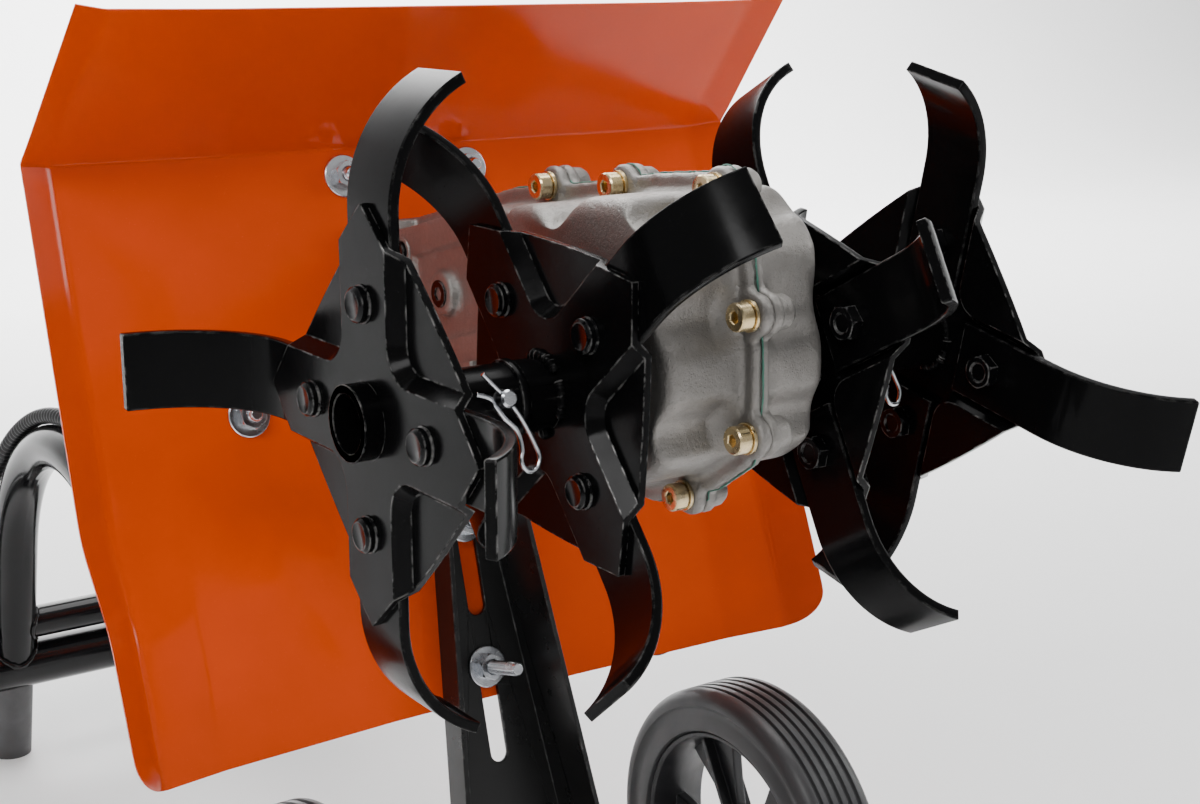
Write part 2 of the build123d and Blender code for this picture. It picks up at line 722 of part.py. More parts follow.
side_out = Vector(0, -lean.Z, lean.Y)
reach_out = Vector(0, -reach.Z, reach.Y)
outward = side_out + reach_out
column_bend = Vector(-column_x, bend_y, bend_z)
slant_low = Vector(-pivot_x, pivot_y, pivot_z) + lean * knee_at
slant_high = Vector(-column_x, slant_low.Y, slant_low.Z) + lean * straight_at
slant = slant_high - slant_low
lever_root = lever_clamps[0]
beside_root = lever_root.z_dir * (lever_clamp + conduit_od / 2 + running_fit)
conduit_points = [
    slant_low + slant * conduit_start + side_out * conduit_off,
    slant_high + side_out * conduit_off,
    column_bend + outward * (conduit_off / (1 + side_out.dot(reach_out))),
    lever_root.origin + beside_root + lever_root.y_dir * (grip_od + conduit_od) / 2,
]
with BuildPart() as cable_conduit:
    with BuildLine() as conduit_route:
        FilletPolyline(*conduit_points, radius=[knee_r, bend_r + conduit_off])
    with BuildSketch(Plane(origin=conduit_route.line @ 0, z_dir=conduit_route.line % 0)):
        Circle(conduit_od / 2)
    sweep(path=conduit_route.line)
keep("cable_conduit", cable_conduit)

with BuildPart() as conduit_clips:
    for middle, direction in (
        (slant_low + slant * clip_share, slant.normalized()),
        (column_bend - lean * clip_below_bend, lean),
    ):
        clip = Plane(origin=middle, x_dir=side_out, z_dir=direction)
        with BuildSketch(clip):
            Circle(column_od / 2 + clip_sheet)
            with Locations((conduit_off, 0)):
                Circle(conduit_od / 2 + clip_sheet)
            with Locations((conduit_off / 2, 0)):
                Rectangle(conduit_off, conduit_od)
            Circle(column_od / 2 + running_fit, mode=Mode.SUBTRACT)
            with Locations((conduit_off, 0)):
                Circle(conduit_od / 2 + running_fit, mode=Mode.SUBTRACT)
        extrude(amount=clip_width / 2, both=True)
keep("conduit_clips", conduit_clips)

brace_at = Vector(0, junction_y, junction_z) - reach * brace_back
with BuildPart() as brace:
    with BuildSketch(Plane(origin=brace_at - Vector(column_x, 0, 0), x_dir=(0, 1, 0), z_dir=(1, 0, 0))):
        Circle(brace_od / 2)
    extrude(amount=2 * column_x)
    for side in (-1, 1):
        beside = brace_at + Vector(side * column_x, 0, 0)
        with BuildSketch(Plane(origin=beside - reach * 2 * brace_od, z_dir=reach)):
            Circle(column_od / 2 + running_fit)
        extrude(amount=4 * brace_od, mode=Mode.SUBTRACT)
    for extra in [solid for solid in brace.solids() if abs(solid.center().X) > column_x / 2]:
        add(extra, mode=Mode.SUBTRACT)
keep("brace", brace)

ear_x = pivot_x - column_od / 2 - seat_gap
with BuildPart() as handle_ears:
    for side in (-1, 1):
        with BuildSketch(across(side * ear_x)):
            with Locations((pivot_y, pivot_z)):
                Circle(ear_r)
            with Locations((pivot_y - ear_shift, (plate_z + plate_thick + pivot_z) / 2)):
                Rectangle(2 * ear_r + ear_flare, pivot_z - plate_z - plate_thick)
            with Locations((pivot_y, pivot_z)):
                Circle(pivot_bolt_d / 2 + running_fit, mode=Mode.SUBTRACT)
        extrude(amount=-side * ear_thick)
        with BuildSketch(Plane.XY.offset(plate_z + plate_thick)):
            with Locations((side * (ear_x - ear_foot / 2), pivot_y - ear_shift)):
                Rectangle(ear_foot, 2 * ear_r + ear_flare)
        extrude(amount=ear_thick)
keep("handle_ears", handle_ears)

with BuildPart() as pivot_bolts:
    for side in (-1, 1):
        for seat, thick, outline_r, corners in (
            (ear_x - ear_thick, -pivot_head, pivot_bolt_d, 6),
            (pivot_x + column_od / 2 + seat_gap, knob_thick, knob_d / 2, 12),
        ):
            with BuildSketch(across(side * seat)):
                with Locations((pivot_y, pivot_z)):
                    RegularPolygon(outline_r, corners)
            extrude(amount=side * thick)
        with BuildSketch(across(side * (ear_x - ear_thick))):
            with Locations((pivot_y, pivot_z)):
                Circle(pivot_bolt_d / 2)
        extrude(amount=side * (ear_thick + column_od + 2 * seat_gap))
keep("pivot_bolts", pivot_bolts)

# ---------------------------------------------------------------- engine
with BuildPart() as engine_base:
    with BuildSketch(Plane.XY.offset(deck_z)) as blank:
        with Locations((0, (base_front + base_rear) / 2)):
            Rectangle(2 * base_half, base_rear - base_front)
        fillet(blank.vertices(), base_corner)
    extrude(amount=base_thick)
keep("engine_base", engine_base)

with BuildPart() as crankcase:
    with BuildSketch(Plane.XY.offset(base_z)) as blank:
        with Locations((0, (crank_front + crank_rear) / 2)):
            Rectangle(2 * crank_half, crank_rear - crank_front)
        fillet(blank.vertices(), crank_corner)
    extrude(amount=crank_top - base_z)
keep("crankcase", crankcase)

fin_middle = base_z + (fin_up[0] + fin_up[1]) / 2
with BuildPart() as cylinder:
    with BuildSketch(Plane.XZ.offset(-crank_front)):
        with Locations((0, fin_middle)):
            Circle(bore_r)
    extrude(amount=fin_count * fin_pitch)
    for n in range(fin_count):
        with BuildSketch(Plane.XZ.offset(-crank_front + (n + 1) * fin_pitch - fin_thick)):
            with Locations((0, fin_middle)):
                RectangleRounded(2 * fin_half, fin_up[1] - fin_up[0], fin_corner)
        extrude(amount=fin_thick)
keep("cylinder", cylinder)

with BuildPart() as blower_housing:
    with BuildSketch(Plane.XY.offset(crank_top)):
        with Locations((0, blower_y)):
            Circle(blower_r)
    extrude(amount=blower_h)
    fillet(blower_housing.faces().sort_by(Axis.Z)[-1].edges(), blower_round)
keep("blower_housing", blower_housing)

with BuildPart() as recoil_cover:
    with BuildSketch(Plane.XY.offset(crank_top + blower_h)):
        with Locations((0, blower_y)):
            Circle(recoil_r)
    extrude(amount=recoil_h)
    fillet(recoil_cover.faces().sort_by(Axis.Z)[-1].edges(), recoil_round)
keep("recoil_cover", recoil_cover)

tank_low, tank_top = base_z + tank_up, crank_top - tank_below_top
with BuildPart() as fuel_tank:
    with BuildSketch(Plane.XY.offset(tank_low)):
        with Locations((0, crank_rear + tank_depth / 2)):
            RectangleRounded(2 * tank_half, tank_depth, tank_corner)
    extrude(amount=tank_top - tank_low)
    fillet(fuel_tank.faces().sort_by(Axis.Z)[-1].edges(), tank_round)
keep("fuel_tank", fuel_tank)

with BuildPart() as fuel_cap:
    with BuildSketch(Plane.XY.offset(tank_top)):
        with Locations((tank_half / 2, crank_rear + tank_depth - cap_r - cap_edge)):
            Circle(cap_r)
    extrude(amount=cap_h)
keep("fuel_cap", fuel_cap)

with BuildPart() as muffler:
    with BuildSketch(across(-crank_half)):
        with Locations((muffler_y, base_z + muffler_up)):
            RectangleRounded(*muffler_size, cover_round)
    extrude(amount=-muffler_deep)
    fillet(muffler.faces().sort_by(Axis.X)[0].edges(), cover_edge)
keep("muffler", muffler)

with BuildPart() as air_cleaner:
    with BuildSketch(across(crank_half)):
        with Locations((cleaner_y, base_z + cleaner_up)):
            RectangleRounded(*cleaner_size, cover_round)
    extrude(amount=cleaner_deep)
    fillet(air_cleaner.faces().sort_by(Axis.X)[-1].edges(), cover_edge)
keep("air_cleaner", air_cleaner)

# ---------------------------------------------------------------- tip back, set down and write
tipped = Location((0, 0, 0), (-tip_back, 0, 0))
whole = Compound(children=[piece.moved(tipped) for piece in pieces.values()]).bounding_box()
set_down = Location((0, -(whole.min.Y + whole.max.Y) / 2, -whole.min.Z))
for name, piece in pieces.items():
    placed = piece.moved(set_down * tipped)
    placed.label = name
    export_step(placed, f"parts/{name}.step")
    print(name, len(placed.solids()), round(placed.volume / 1000, 1))
print("machine origin in the stored attitude:", set_down.position)
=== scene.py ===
import math
import random
import bpy
import bmesh
from mathutils import Matrix, Vector
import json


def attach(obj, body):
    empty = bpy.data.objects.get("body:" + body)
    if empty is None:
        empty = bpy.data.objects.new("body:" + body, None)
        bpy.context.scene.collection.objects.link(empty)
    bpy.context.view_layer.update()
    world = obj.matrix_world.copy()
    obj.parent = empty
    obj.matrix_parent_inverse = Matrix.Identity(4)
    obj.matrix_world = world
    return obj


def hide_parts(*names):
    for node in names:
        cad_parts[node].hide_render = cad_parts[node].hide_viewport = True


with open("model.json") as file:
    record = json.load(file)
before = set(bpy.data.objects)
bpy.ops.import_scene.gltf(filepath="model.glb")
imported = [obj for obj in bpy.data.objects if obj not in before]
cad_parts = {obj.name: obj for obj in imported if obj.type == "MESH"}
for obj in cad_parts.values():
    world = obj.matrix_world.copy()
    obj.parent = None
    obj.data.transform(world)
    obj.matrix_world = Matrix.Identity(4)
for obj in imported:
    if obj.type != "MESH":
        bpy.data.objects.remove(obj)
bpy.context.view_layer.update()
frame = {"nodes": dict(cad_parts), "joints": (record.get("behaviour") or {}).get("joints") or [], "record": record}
nodes = frame["nodes"]

# ---------------------------------------------------------------- camera and lights, in metres
LENS_MM, SENSOR_MM, CLIP_END = 54.24, 36.0, 50.0
CAMERA_FROM_SHAFT = Vector((-0.500, -0.656, 0.185))
CAMERA_RIGHT, CAMERA_UP = Vector((0.8211, -0.5707, 0.0)), Vector((0.1342, 0.1931, 0.9720))
WORLD_LIGHT = 0.42

camera_data = bpy.data.cameras.new("camera")
camera = bpy.data.objects.new("camera", camera_data)
bpy.context.scene.collection.objects.link(camera)
bpy.context.scene.camera = camera
camera_data.sensor_width = SENSOR_MM
camera_data.lens = LENS_MM
camera_data.clip_end = CLIP_END
shaft_at = Vector(next(j["pos_m"] for j in frame["joints"] if j["name"] == "rotor_spin"))
facing = Matrix((CAMERA_RIGHT, CAMERA_UP, CAMERA_RIGHT.cross(CAMERA_UP))).transposed()
camera.matrix_world = Matrix.Translation(shaft_at + CAMERA_FROM_SHAFT) @ facing.to_4x4()

world = bpy.data.worlds.new("studio")
bpy.context.scene.world = world
world.use_nodes = True
background = world.node_tree.nodes["Background"]
background.inputs["Color"].default_value = (1, 1, 1, 1)
background.inputs["Strength"].default_value = WORLD_LIGHT


def soft_box(name, at, aim, width, height, power):
    """A rectangular studio light that faces a point."""
    data = bpy.data.lights.new(name, "AREA")
    data.shape = "RECTANGLE"
    data.size, data.size_y, data.energy = width, height, power
    light = bpy.data.objects.new(name, data)
    bpy.context.scene.collection.objects.link(light)
    light.location = at
    light.rotation_mode = "QUATERNION"
    light.rotation_quaternion = (Vector(aim) - Vector(at)).to_track_quat("-Z", "Y")


soft_box("key", (-1.7, -1.5, 2.3), (0, -0.2, 0.4), 0.9, 0.9, 34)
soft_box("top", (0.4, 0.1, 2.3), (0, -0.1, 0.3), 1.4, 1.4, 30)
soft_box("side", (2.0, -0.9, 1.3), (0, -0.2, 0.4), 0.5, 1.4, 16)
soft_box("wall", (1.3, 1.9, 2.9), (1.9, 3.6, 1.7), 2.6, 0.8, 430)
soft_box("wash", (1.3, 1.9, 2.2), (1.5, 2.6, 0.0), 2.2, 0.9, 34)


def link(name, mesh):
    """A new object of a mesh, in the scene."""
    made = bpy.data.objects.new(name, mesh)
    bpy.context.scene.collection.objects.link(made)
    return made


# ---------------------------------------------------------------- materials
# the colour sockets of Blender's Mix node, and the samples and edge radii of its Bevel node
MIX_A, MIX_B, MIX_RESULT = 6, 7, 2
BEVEL_SAMPLES, PAINT_EDGE, METAL_EDGE, PLASTIC_EDGE, WEAR_EDGE = 6, 0.0006, 0.0004, 0.0008, 0.0012


class Finish:
    """A node material built in a few lines: every method adds a node and returns its output."""

    def __init__(self, name):
        self.material = bpy.data.materials.new(name)
        self.material.use_nodes = True
        self.tree = self.material.node_tree
        self.shader = self.tree.nodes["Principled BSDF"]
        self.object = self.tree.nodes.new("ShaderNodeTexCoord").outputs["Object"]

    def set(self, **values):
        for key, value in values.items():
            self.shader.inputs[key.replace("_", " ")].default_value = value

    def noise(self, scale, detail=4.0, rough=0.55):
        n = self.tree.nodes.new("ShaderNodeTexNoise")
        n.inputs["Scale"].default_value = scale
        n.inputs["Detail"].default_value = detail
        n.inputs["Roughness"].default_value = rough
        self.tree.links.new(self.object, n.inputs["Vector"])
        return n.outputs["Fac"]

    def cells(self, scale):
        n = self.tree.nodes.new("ShaderNodeTexVoronoi")
        n.inputs["Scale"].default_value = scale
        self.tree.links.new(self.object, n.inputs["Vector"])
        return n.outputs["Distance"]

    def ramp(self, source, *stops):
        """A colour ramp of (position, colour or grey) stops."""
        n = self.tree.nodes.new("ShaderNodeValToRGB")
        self.tree.links.new(source, n.inputs["Fac"])
        for i, (at, value) in enumerate(stops):
            element = n.color_ramp.elements[i] if i < 2 else n.color_ramp.elements.new(at)
            element.position = at
            element.color = (*value, 1) if isinstance(value, tuple) else (value, value, value, 1)
        return n.outputs["Color"]

    def range(self, source, low, high, to_low, to_high):
        n = self.tree.nodes.new("ShaderNodeMapRange")
        for key, value in (("From Min", low), ("From Max", high), ("To Min", to_low), ("To Max", to_high)):
            n.inputs[key].default_value = value
        self.tree.links.new(source, n.inputs["Value"])
        return n.outputs["Result"]

    def math(self, kind, a, b):
        n = self.tree.nodes.new("ShaderNodeMath")
        n.operation = kind
        for i, value in enumerate((a, b)):
            if isinstance(value, (int, float)):
                n.inputs[i].default_value = value
            else:
                self.tree.links.new(value, n.inputs[i])
        return n.outputs["Value"]

    def mix(self, factor, a, b):
        n = self.tree.nodes.new("ShaderNodeMix")
        n.data_type = "RGBA"
        self.tree.links.new(factor, n.inputs["Factor"])
        for key, value in ((MIX_A, a), (MIX_B, b)):
            if isinstance(value, tuple):
                n.inputs[key].default_value = (*value, 1)
            else:
                self.tree.links.new(value, n.inputs[key])
        return n.outputs[MIX_RESULT]

    def rounded_normal(self, radius):
        bevel = self.tree.nodes.new("ShaderNodeBevel")
        bevel.samples = BEVEL_SAMPLES
        bevel.inputs["Radius"].default_value = radius
        return bevel.outputs["Normal"]

    def edges(self, radius, low, high):
        """A mask of the sharp edges, from the normals that a small bevel would have."""
        normal = self.rounded_normal(radius)
        geometry = self.tree.nodes.new("ShaderNodeNewGeometry")
        dot = self.tree.nodes.new("ShaderNodeVectorMath")
        dot.operation = "DOT_PRODUCT"
        self.tree.links.new(normal, dot.inputs[0])
        self.tree.links.new(geometry.outputs["Normal"], dot.inputs[1])
        return self.range(self.math("SUBTRACT", 1.0, dot.outputs["Value"]), low, high, 0.0, 1.0)

    def bump(self, *layers, round_edges=0.0):
        """Stacks (height, depth in metres) layers, over edges rounded by a radius."""
        normal = self.rounded_normal(round_edges) if round_edges else None
        for height, depth in layers:
            n = self.tree.nodes.new("ShaderNodeBump")
            n.inputs["Distance"].default_value = depth
            n.inputs["Strength"].default_value = 1.0
            self.tree.links.new(height, n.inputs["Height"])
            if normal is not None:
                self.tree.links.new(normal, n.inputs["Normal"])
            normal = n.outputs["Normal"]
        self.tree.links.new(normal, self.shader.inputs["Normal"])

    def to(self, key, source):
        self.tree.links.new(source, self.shader.inputs[key])


WORN_STEEL = (0.45, 0.44, 0.43)


def paint(name, colour, rough, wear=0.0, peel=0.00002, coat=0.0, shine=0.5):
    """Gloss or satin paint on steel, with worn edges, faint specks and orange peel."""
    f = Finish(name)
    shade = f.noise(9, 3)
    base = f.ramp(shade, (0.3, tuple(c * 0.86 for c in colour)), (0.7, colour))
    specks = f.range(f.noise(900, 2, 0.7), 0.69, 0.73, 0.0, 0.35)
    base = f.mix(specks, base, tuple(min(1.0, c * 1.6 + 0.03) for c in colour))
    if wear:
        worn = f.math("MULTIPLY", f.edges(WEAR_EDGE, 0.006, 0.05),
                      f.range(f.noise(160, 5, 0.65), 0.60 - 0.24 * wear, 0.70, 0.0, 0.75))
        base = f.mix(worn, base, WORN_STEEL)
        f.to("Metallic", worn)
    f.to("Base Color", base)
    f.to("Roughness", f.range(f.noise(40, 5, 0.6), 0.3, 0.7, rough * 0.75, rough * 1.35))
    f.set(Coat_Weight=coat, Coat_Roughness=0.04, IOR=1.5, Specular_IOR_Level=shine)
    f.bump((f.noise(260, 2), peel), (f.noise(14, 2), peel * 14), round_edges=PAINT_EDGE)
    return f.material


def metal(name, colour, rough, tint=None):
    """Bare or plated metal, with fine grain, staining and uneven polish."""
    f = Finish(name)
    stain = f.noise(55, 5, 0.6)
    base = f.ramp(stain, (0.35, tint or tuple(c * 0.7 for c in colour)), (0.6, colour))
    f.to("Base Color", base)
    f.set(Metallic=1.0)
    f.to("Roughness", f.range(f.noise(120, 4), 0.3, 0.7, rough * 0.7, rough * 1.4))
    f.bump((f.noise(700, 3), 0.00002), round_edges=METAL_EDGE)
    return f.material


def cast(name, colour, rough):
    """Sand-cast alloy: pebbled, with darker pores and a soft blasted shine."""
    f = Finish(name)
    pores = f.range(f.cells(620), 0.05, 0.3, 0.0, 1.0)
    base = f.ramp(f.noise(30, 6, 0.6), (0.3, tuple(c * 0.82 for c in colour)), (0.7, colour))
    base = f.mix(f.range(pores, 0.0, 1.0, 0.35, 0.0), base, tuple(c * 0.55 for c in colour))
    f.to("Base Color", base)
    f.set(Metallic=0.75)
    f.to("Roughness", f.range(f.noise(300, 4), 0.3, 0.7, rough * 0.8, rough * 1.25))
    f.bump((f.noise(520, 5, 0.7), 0.0005), (pores, 0.00015), (f.noise(60, 3), 0.0008))
    return f.material


def plastic(name, colour, rough, grain=0.00005):
    """Moulded plastic or rubber with a fine texture, dust and uneven gloss."""
    f = Finish(name)
    dust = f.range(f.noise(25, 6, 0.65), 0.52, 0.72, 0.0, 0.35)
    base = f.mix(dust, colour, tuple(min(1.0, c * 1.5 + 0.02) for c in colour))
    f.to("Base Color", base)
    f.to("Roughness", f.range(f.noise(90, 4), 0.3, 0.7, rough * 0.85, rough * 1.15))
    f.bump((f.noise(1400, 2), grain), (f.noise(45, 3), grain * 3), round_edges=PLASTIC_EDGE)
    return f.material


finishes = {
    "tine_black": paint("tine_black", (0.003, 0.003, 0.0032), 0.17, wear=0.55, shine=0.07),
    "bolt_black": paint("bolt_black", (0.003, 0.003, 0.0035), 0.2, wear=0.5, shine=0.2),
    "bare_steel": metal("bare_steel", (0.52, 0.52, 0.53), 0.32),
    "zinc": metal("zinc", (0.78, 0.80, 0.83), 0.22, tint=(0.6, 0.62, 0.66)),
    "yellow_zinc": metal("yellow_zinc", (0.80, 0.62, 0.33), 0.24, tint=(0.66, 0.55, 0.36)),
    "cast_alloy": cast("cast_alloy", (0.31, 0.295, 0.278), 0.40),
    "orange_paint": paint("orange_paint", (0.80, 0.068, 0.0), 0.13, peel=0.00001, shine=0.26),
    "bracket_black": paint("bracket_black", (0.012, 0.012, 0.0122), 0.3, wear=0.4, shine=0.42),
    "tube_black": paint("tube_black", (0.004, 0.004, 0.0045), 0.13, wear=0.2, coat=0.05, shine=0.3),
    "grip_rubber": plastic("grip_rubber", (0.045, 0.045, 0.047), 0.55),
    "tyre": plastic("tyre", (0.042, 0.042, 0.044), 0.42),
    "rim_plastic": plastic("rim_plastic", (0.016, 0.016, 0.018), 0.35),
    "engine_alloy": cast("engine_alloy", (0.5, 0.5, 0.5), 0.45),
    "cover_orange": plastic("cover_orange", (0.78, 0.075, 0.001), 0.28, grain=0.00001),
    "cover_black": plastic("cover_black", (0.012, 0.012, 0.013), 0.4),
    "muffler_steel": metal("muffler_steel", (0.33, 0.31, 0.29), 0.4, tint=(0.25, 0.2, 0.17)),
}
slots = {row["node"]: row["material_slot"] for row in frame["record"]["subparts"]}
for name, node in nodes.items():
    node.data.materials.clear()
    node.data.materials.append(finishes[slots[name]])

# ---------------------------------------------------------------- machine frame
# The detail below is drawn in the machine's own millimetres: X along the tine shaft, +Y to
# the rear, +Z up, origin on the shaft. MACHINE takes it to the row frame, tipped back.
TIP = math.radians(105.6)
MACHINE = Matrix.Translation(shaft_at) @ Matrix.Rotation(-TIP, 4, "X") @ Matrix.Scale(0.001, 4)
rng = random.Random(7)


def basis(axis):
    """Two directions square to an axis, and the axis."""
    axis = Vector(axis).normalized()
    side = Vector((0, 0, 1)) if abs(axis.z) < 0.9 else Vector((0, 1, 0))
    u = side.cross(axis).normalized()
    return u, axis.cross(u), axis


def rounded(points, radii, step=3.0):
    """A polyline with arcs at its inner corners, as closely spaced points."""
    points = [Vector(p) for p in points]
    made = [points[0]]
    for before, corner, after, radius in zip(points, points[1:], points[2:], radii):
        a, b = (before - corner).normalized(), (after - corner).normalized()
        half = a.angle(b) / 2
        middle = corner + (a + b).normalized() * (radius / math.sin(half))
        start, end = corner + a * (radius / math.tan(half)), corner + b * (radius / math.tan(half))
        sweep = math.pi - 2 * half
        count = max(4, int(radius * sweep / step))
        for n in range(count + 1):
            made.append(middle + (start - middle).slerp(end - middle, n / count) * radius)
    made.append(points[-1])
    close = [made[0]]
    for p in made[1:]:
        count = max(1, int((p - close[-1]).length / step))
        start = close[-1]
        close.extend(start.lerp(p, n / count) for n in range(1, count + 1))
    return close


def smooth_path(points, per=8):
    """A Catmull-Rom curve through points."""
    p = [Vector(q) for q in points]
    p = [2 * p[0] - p[1]] + p + [2 * p[-1] - p[-2]]
    made = []
    for a, b, c, d in zip(p, p[1:], p[2:], p[3:]):
        for n in range(per):
            t = n / per
            made.append(0.5 * (2 * b + (c - a) * t + (2 * a - 5 * b + 4 * c - d) * t * t
                               + (3 * b - 3 * c + d - a) * t ** 3))
    return made + [p[-2]]


BEAD_WOBBLE, SHARP_DEGREES, WELD_WITHIN = 0.35, 32, 0.00002


class Shape:
    """Gathers solids in machine millimetres and makes one piece of them."""

    def __init__(self):
        self.mesh = bmesh.new()

    def skin(self, rings, closed=False):
        """Faces between rings of points; a ring of one point is a tip."""
        rows = [[self.mesh.verts.new(p) for p in ring] for ring in rings]
        pairs = list(zip(rows, rows[1:])) + ([(rows[-1], rows[0])] if closed else [])
        for a, b in pairs:
            count = max(len(a), len(b))
            for n in range(count):
                m = (n + 1) % count
                if len(a) == 1:
                    self.mesh.faces.new((a[0], b[m], b[n]))
                elif len(b) == 1:
                    self.mesh.faces.new((a[n], a[m], b[0]))
                else:
                    self.mesh.faces.new((a[n], a[m], b[m], b[n]))
        if not closed:
            if len(rows[0]) > 2:
                self.mesh.faces.new(list(reversed(rows[0])))
            if len(rows[-1]) > 2:
                self.mesh.faces.new(rows[-1])
        return self

    def turned(self, levels, at, axis, steps=48, closed=False, ripple=0.0, waves=0, turn=0.0):
        """A turned solid from levels of (distance along the axis, radius, hexagon half width or 0)."""
        u, v, w = basis(axis)
        at = Vector(at)
        rings = []
        for level in levels:
            along, radius = level[0], level[1]
            flat = level[2] if len(level) > 2 else 0
            ring = []
            for n in range(1 if radius == 0 else steps):
                angle = 2 * math.pi * n / steps
                r = radius * (1 + ripple * math.cos(waves * angle))
                if flat:
                    r = min(r, flat / math.cos((angle + math.pi / 6) % (math.pi / 3) - math.pi / 6))
                ring.append(at + w * along + (u * math.cos(angle + turn) + v * math.sin(angle + turn)) * r)
            rings.append(ring)
        return self.skin(rings, closed=closed)

    def tube(self, path, radius, steps=12):
        """A round bar along a path; radius is a number or one for each point."""
        path = [Vector(p) for p in path]
        count = len(path)
        rings = []
        last = None
        for n, p in enumerate(path):
            ahead, behind = path[min(n + 1, count - 1)], path[max(n - 1, 0)]
            along = (ahead - behind).normalized()
            u = basis(along)[0] if last is None else (last - along * last.dot(along)).normalized()
            last = u
            v = along.cross(u)
            r = radius[n] if isinstance(radius, (list, tuple)) else radius
            rings.append([p + (u * math.cos(a) + v * math.sin(a)) * r
                          for a in (2 * math.pi * k / steps for k in range(steps))])
        return self.skin(rings)

    def slab(self, outline, at, axis, depth, along=None, edge=0.0):
        """A flat outline of (u, v) pushed along an axis, with a small chamfer at its far edge."""
        w = Vector(axis).normalized()
        u = Vector(along).normalized() if along else basis(w)[0]
        v = w.cross(u)
        at = Vector(at)
        middle = Vector((sum(p[0] for p in outline), sum(p[1] for p in outline))) / len(outline)
        reach = max((Vector(p) - middle).length for p in outline)

        def ring(height, inset):
            share = 1 - inset / reach
            return [at + w * height + u * (middle.x + (x - middle.x) * share)
                    + v * (middle.y + (y - middle.y) * share) for x, y in outline]

        chamfer = [ring(depth - edge, 0)] if edge else []
        return self.skin([ring(0, 0)] + chamfer + [ring(depth, edge)])

    def bead(self, path, size):
        """A weld bead: overlapping ripples along a path."""
        radii = [size * (1 + BEAD_WOBBLE * (0.5 * math.sin(n * 1.9) + rng.uniform(-0.5, 0.5)))
                 for n in range(len(path))]
        return self.tube(path, radii, steps=9)

    def done(self, name, body, slot, replaces=(), sharp=SHARP_DEGREES, bevel=0.0, finish=None):
        """Takes the solids to the row frame as one named piece that rides a body."""
        bmesh.ops.recalc_face_normals(self.mesh, faces=self.mesh.faces)
        self.mesh.transform(MACHINE)
        data = bpy.data.meshes.new(name)
        self.mesh.to_mesh(data)
        self.mesh.free()
        data.shade_smooth()
        data.set_sharp_from_angle(angle=math.radians(sharp))
        data.materials.append(finish or finishes[slot])
        made = link(name, data)
        if bevel:
            add_bevel(made, bevel)
        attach(made, body)
        if replaces:
            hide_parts(*replaces)
        return made


def add_bevel(target, width, weld=False):
    """Rounds the sharp edges of a piece by a width in metres."""
    if weld:
        merge = target.modifiers.new("weld", "WELD")
        merge.merge_threshold = WELD_WITHIN
    cut = target.modifiers.new("edge", "BEVEL")
    cut.width, cut.segments, cut.limit_method = width, 2, "ANGLE"
    cut.angle_limit = math.radians(SHARP_DEGREES)
    cut.use_clamp_overlap = True
    normals = target.modifiers.new("normals", "WEIGHTED_NORMAL")
    normals.keep_sharp = False


def rectangle(width, height):
    """The corners of a rectangle about its middle."""
    x, y = width / 2, height / 2
    return [(-x, -y), (x, -y), (x, y), (-x, y)]


# rounded edges on the CAD pieces, in millimetres, by the start of the node's name
edge_rounds = {
    "star_": 0.8, "blades_": 0.9, "chassis_plate": 0.8, "wheel_bracket": 0.7, "handle_ears": 0.9,
    "engine_base": 2.0, "crankcase": 3.0, "cylinder": 0.6, "foot_": 2.0, "levers": 1.5,
    "conduit_clips": 0.4, "fuel_tank": 1.0, "muffler": 1.0, "air_cleaner": 1.0, "tine_tube": 0.5,
    "blower_housing": 1.0, "recoil_cover": 1.0, "output_shaft": 0.3, "blade_bolts": 1.5, "wheel_axle": 1.0,
}
for name, node in nodes.items():
    width = next((w for start, w in edge_rounds.items() if name.startswith(start)), 0)
    if width:
        add_bevel(node, width / 1000, weld=True)

# the gear case is a casting: its corners run soft and its walls draw in round each bolt
CASE_BOLTS = [(-19.5, -67.7), (33.5, -52.9), (57.0, 0.4), (-77.0, -58.0), (-91.0, 14.0), (-101.5, 73.4)]
CASE_MIDDLE = Vector((0, -25, 20))
HOLLOW_DEEP, HOLLOW_WIDE = 14.0, 12.0
FLANGE_HALF, FLANGE_BLEND = 7.5, 8.0  # the flange stays whole, and the hollows deepen beyond it
VOXEL_SIZE, RELAX_SHARE, RELAX_ROUNDS = 0.0017, 0.5, 6


def draw_in(p):
    """Moves a point of the case wall inward near a bolt, and leaves the split flange as it is."""
    share = min(1.0, max(0.0, (abs(p.x) - FLANGE_HALF) / FLANGE_BLEND))
    moved = p.copy()
    for y, z in CASE_BOLTS:
        inward = Vector((0, CASE_MIDDLE.y - y, CASE_MIDDLE.z - z)).normalized()
        gap = math.hypot(p.y - y, p.z - z)
        moved += inward * (HOLLOW_DEEP * share * math.exp(-(gap / HOLLOW_WIDE) ** 2))
    return moved


from_row = MACHINE.inverted()
for side_name in ("right", "left"):
    casting = nodes[f"gear_case_{side_name}"]
    soft = casting.modifiers.new("voxels", "REMESH")
    soft.mode, soft.voxel_size, soft.use_smooth_shade = "VOXEL", VOXEL_SIZE, True
    relax = casting.modifiers.new("relax", "SMOOTH")
    relax.factor, relax.iterations = RELAX_SHARE, RELAX_ROUNDS
    graph = bpy.context.evaluated_depsgraph_get()
    skin = bpy.data.meshes.new_from_object(casting.evaluated_get(graph))
    casting.modifiers.clear()
    for corner in skin.vertices:
        corner.co = MACHINE @ draw_in(from_row @ corner.co)
    skin.materials.clear()
    skin.materials.append(finishes["cast_alloy"])
    skin.shade_smooth()
    cast_half = link(f"case_casting_{side_name}", skin)
    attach(cast_half, "chassis")
    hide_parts(f"gear_case_{side_name}")

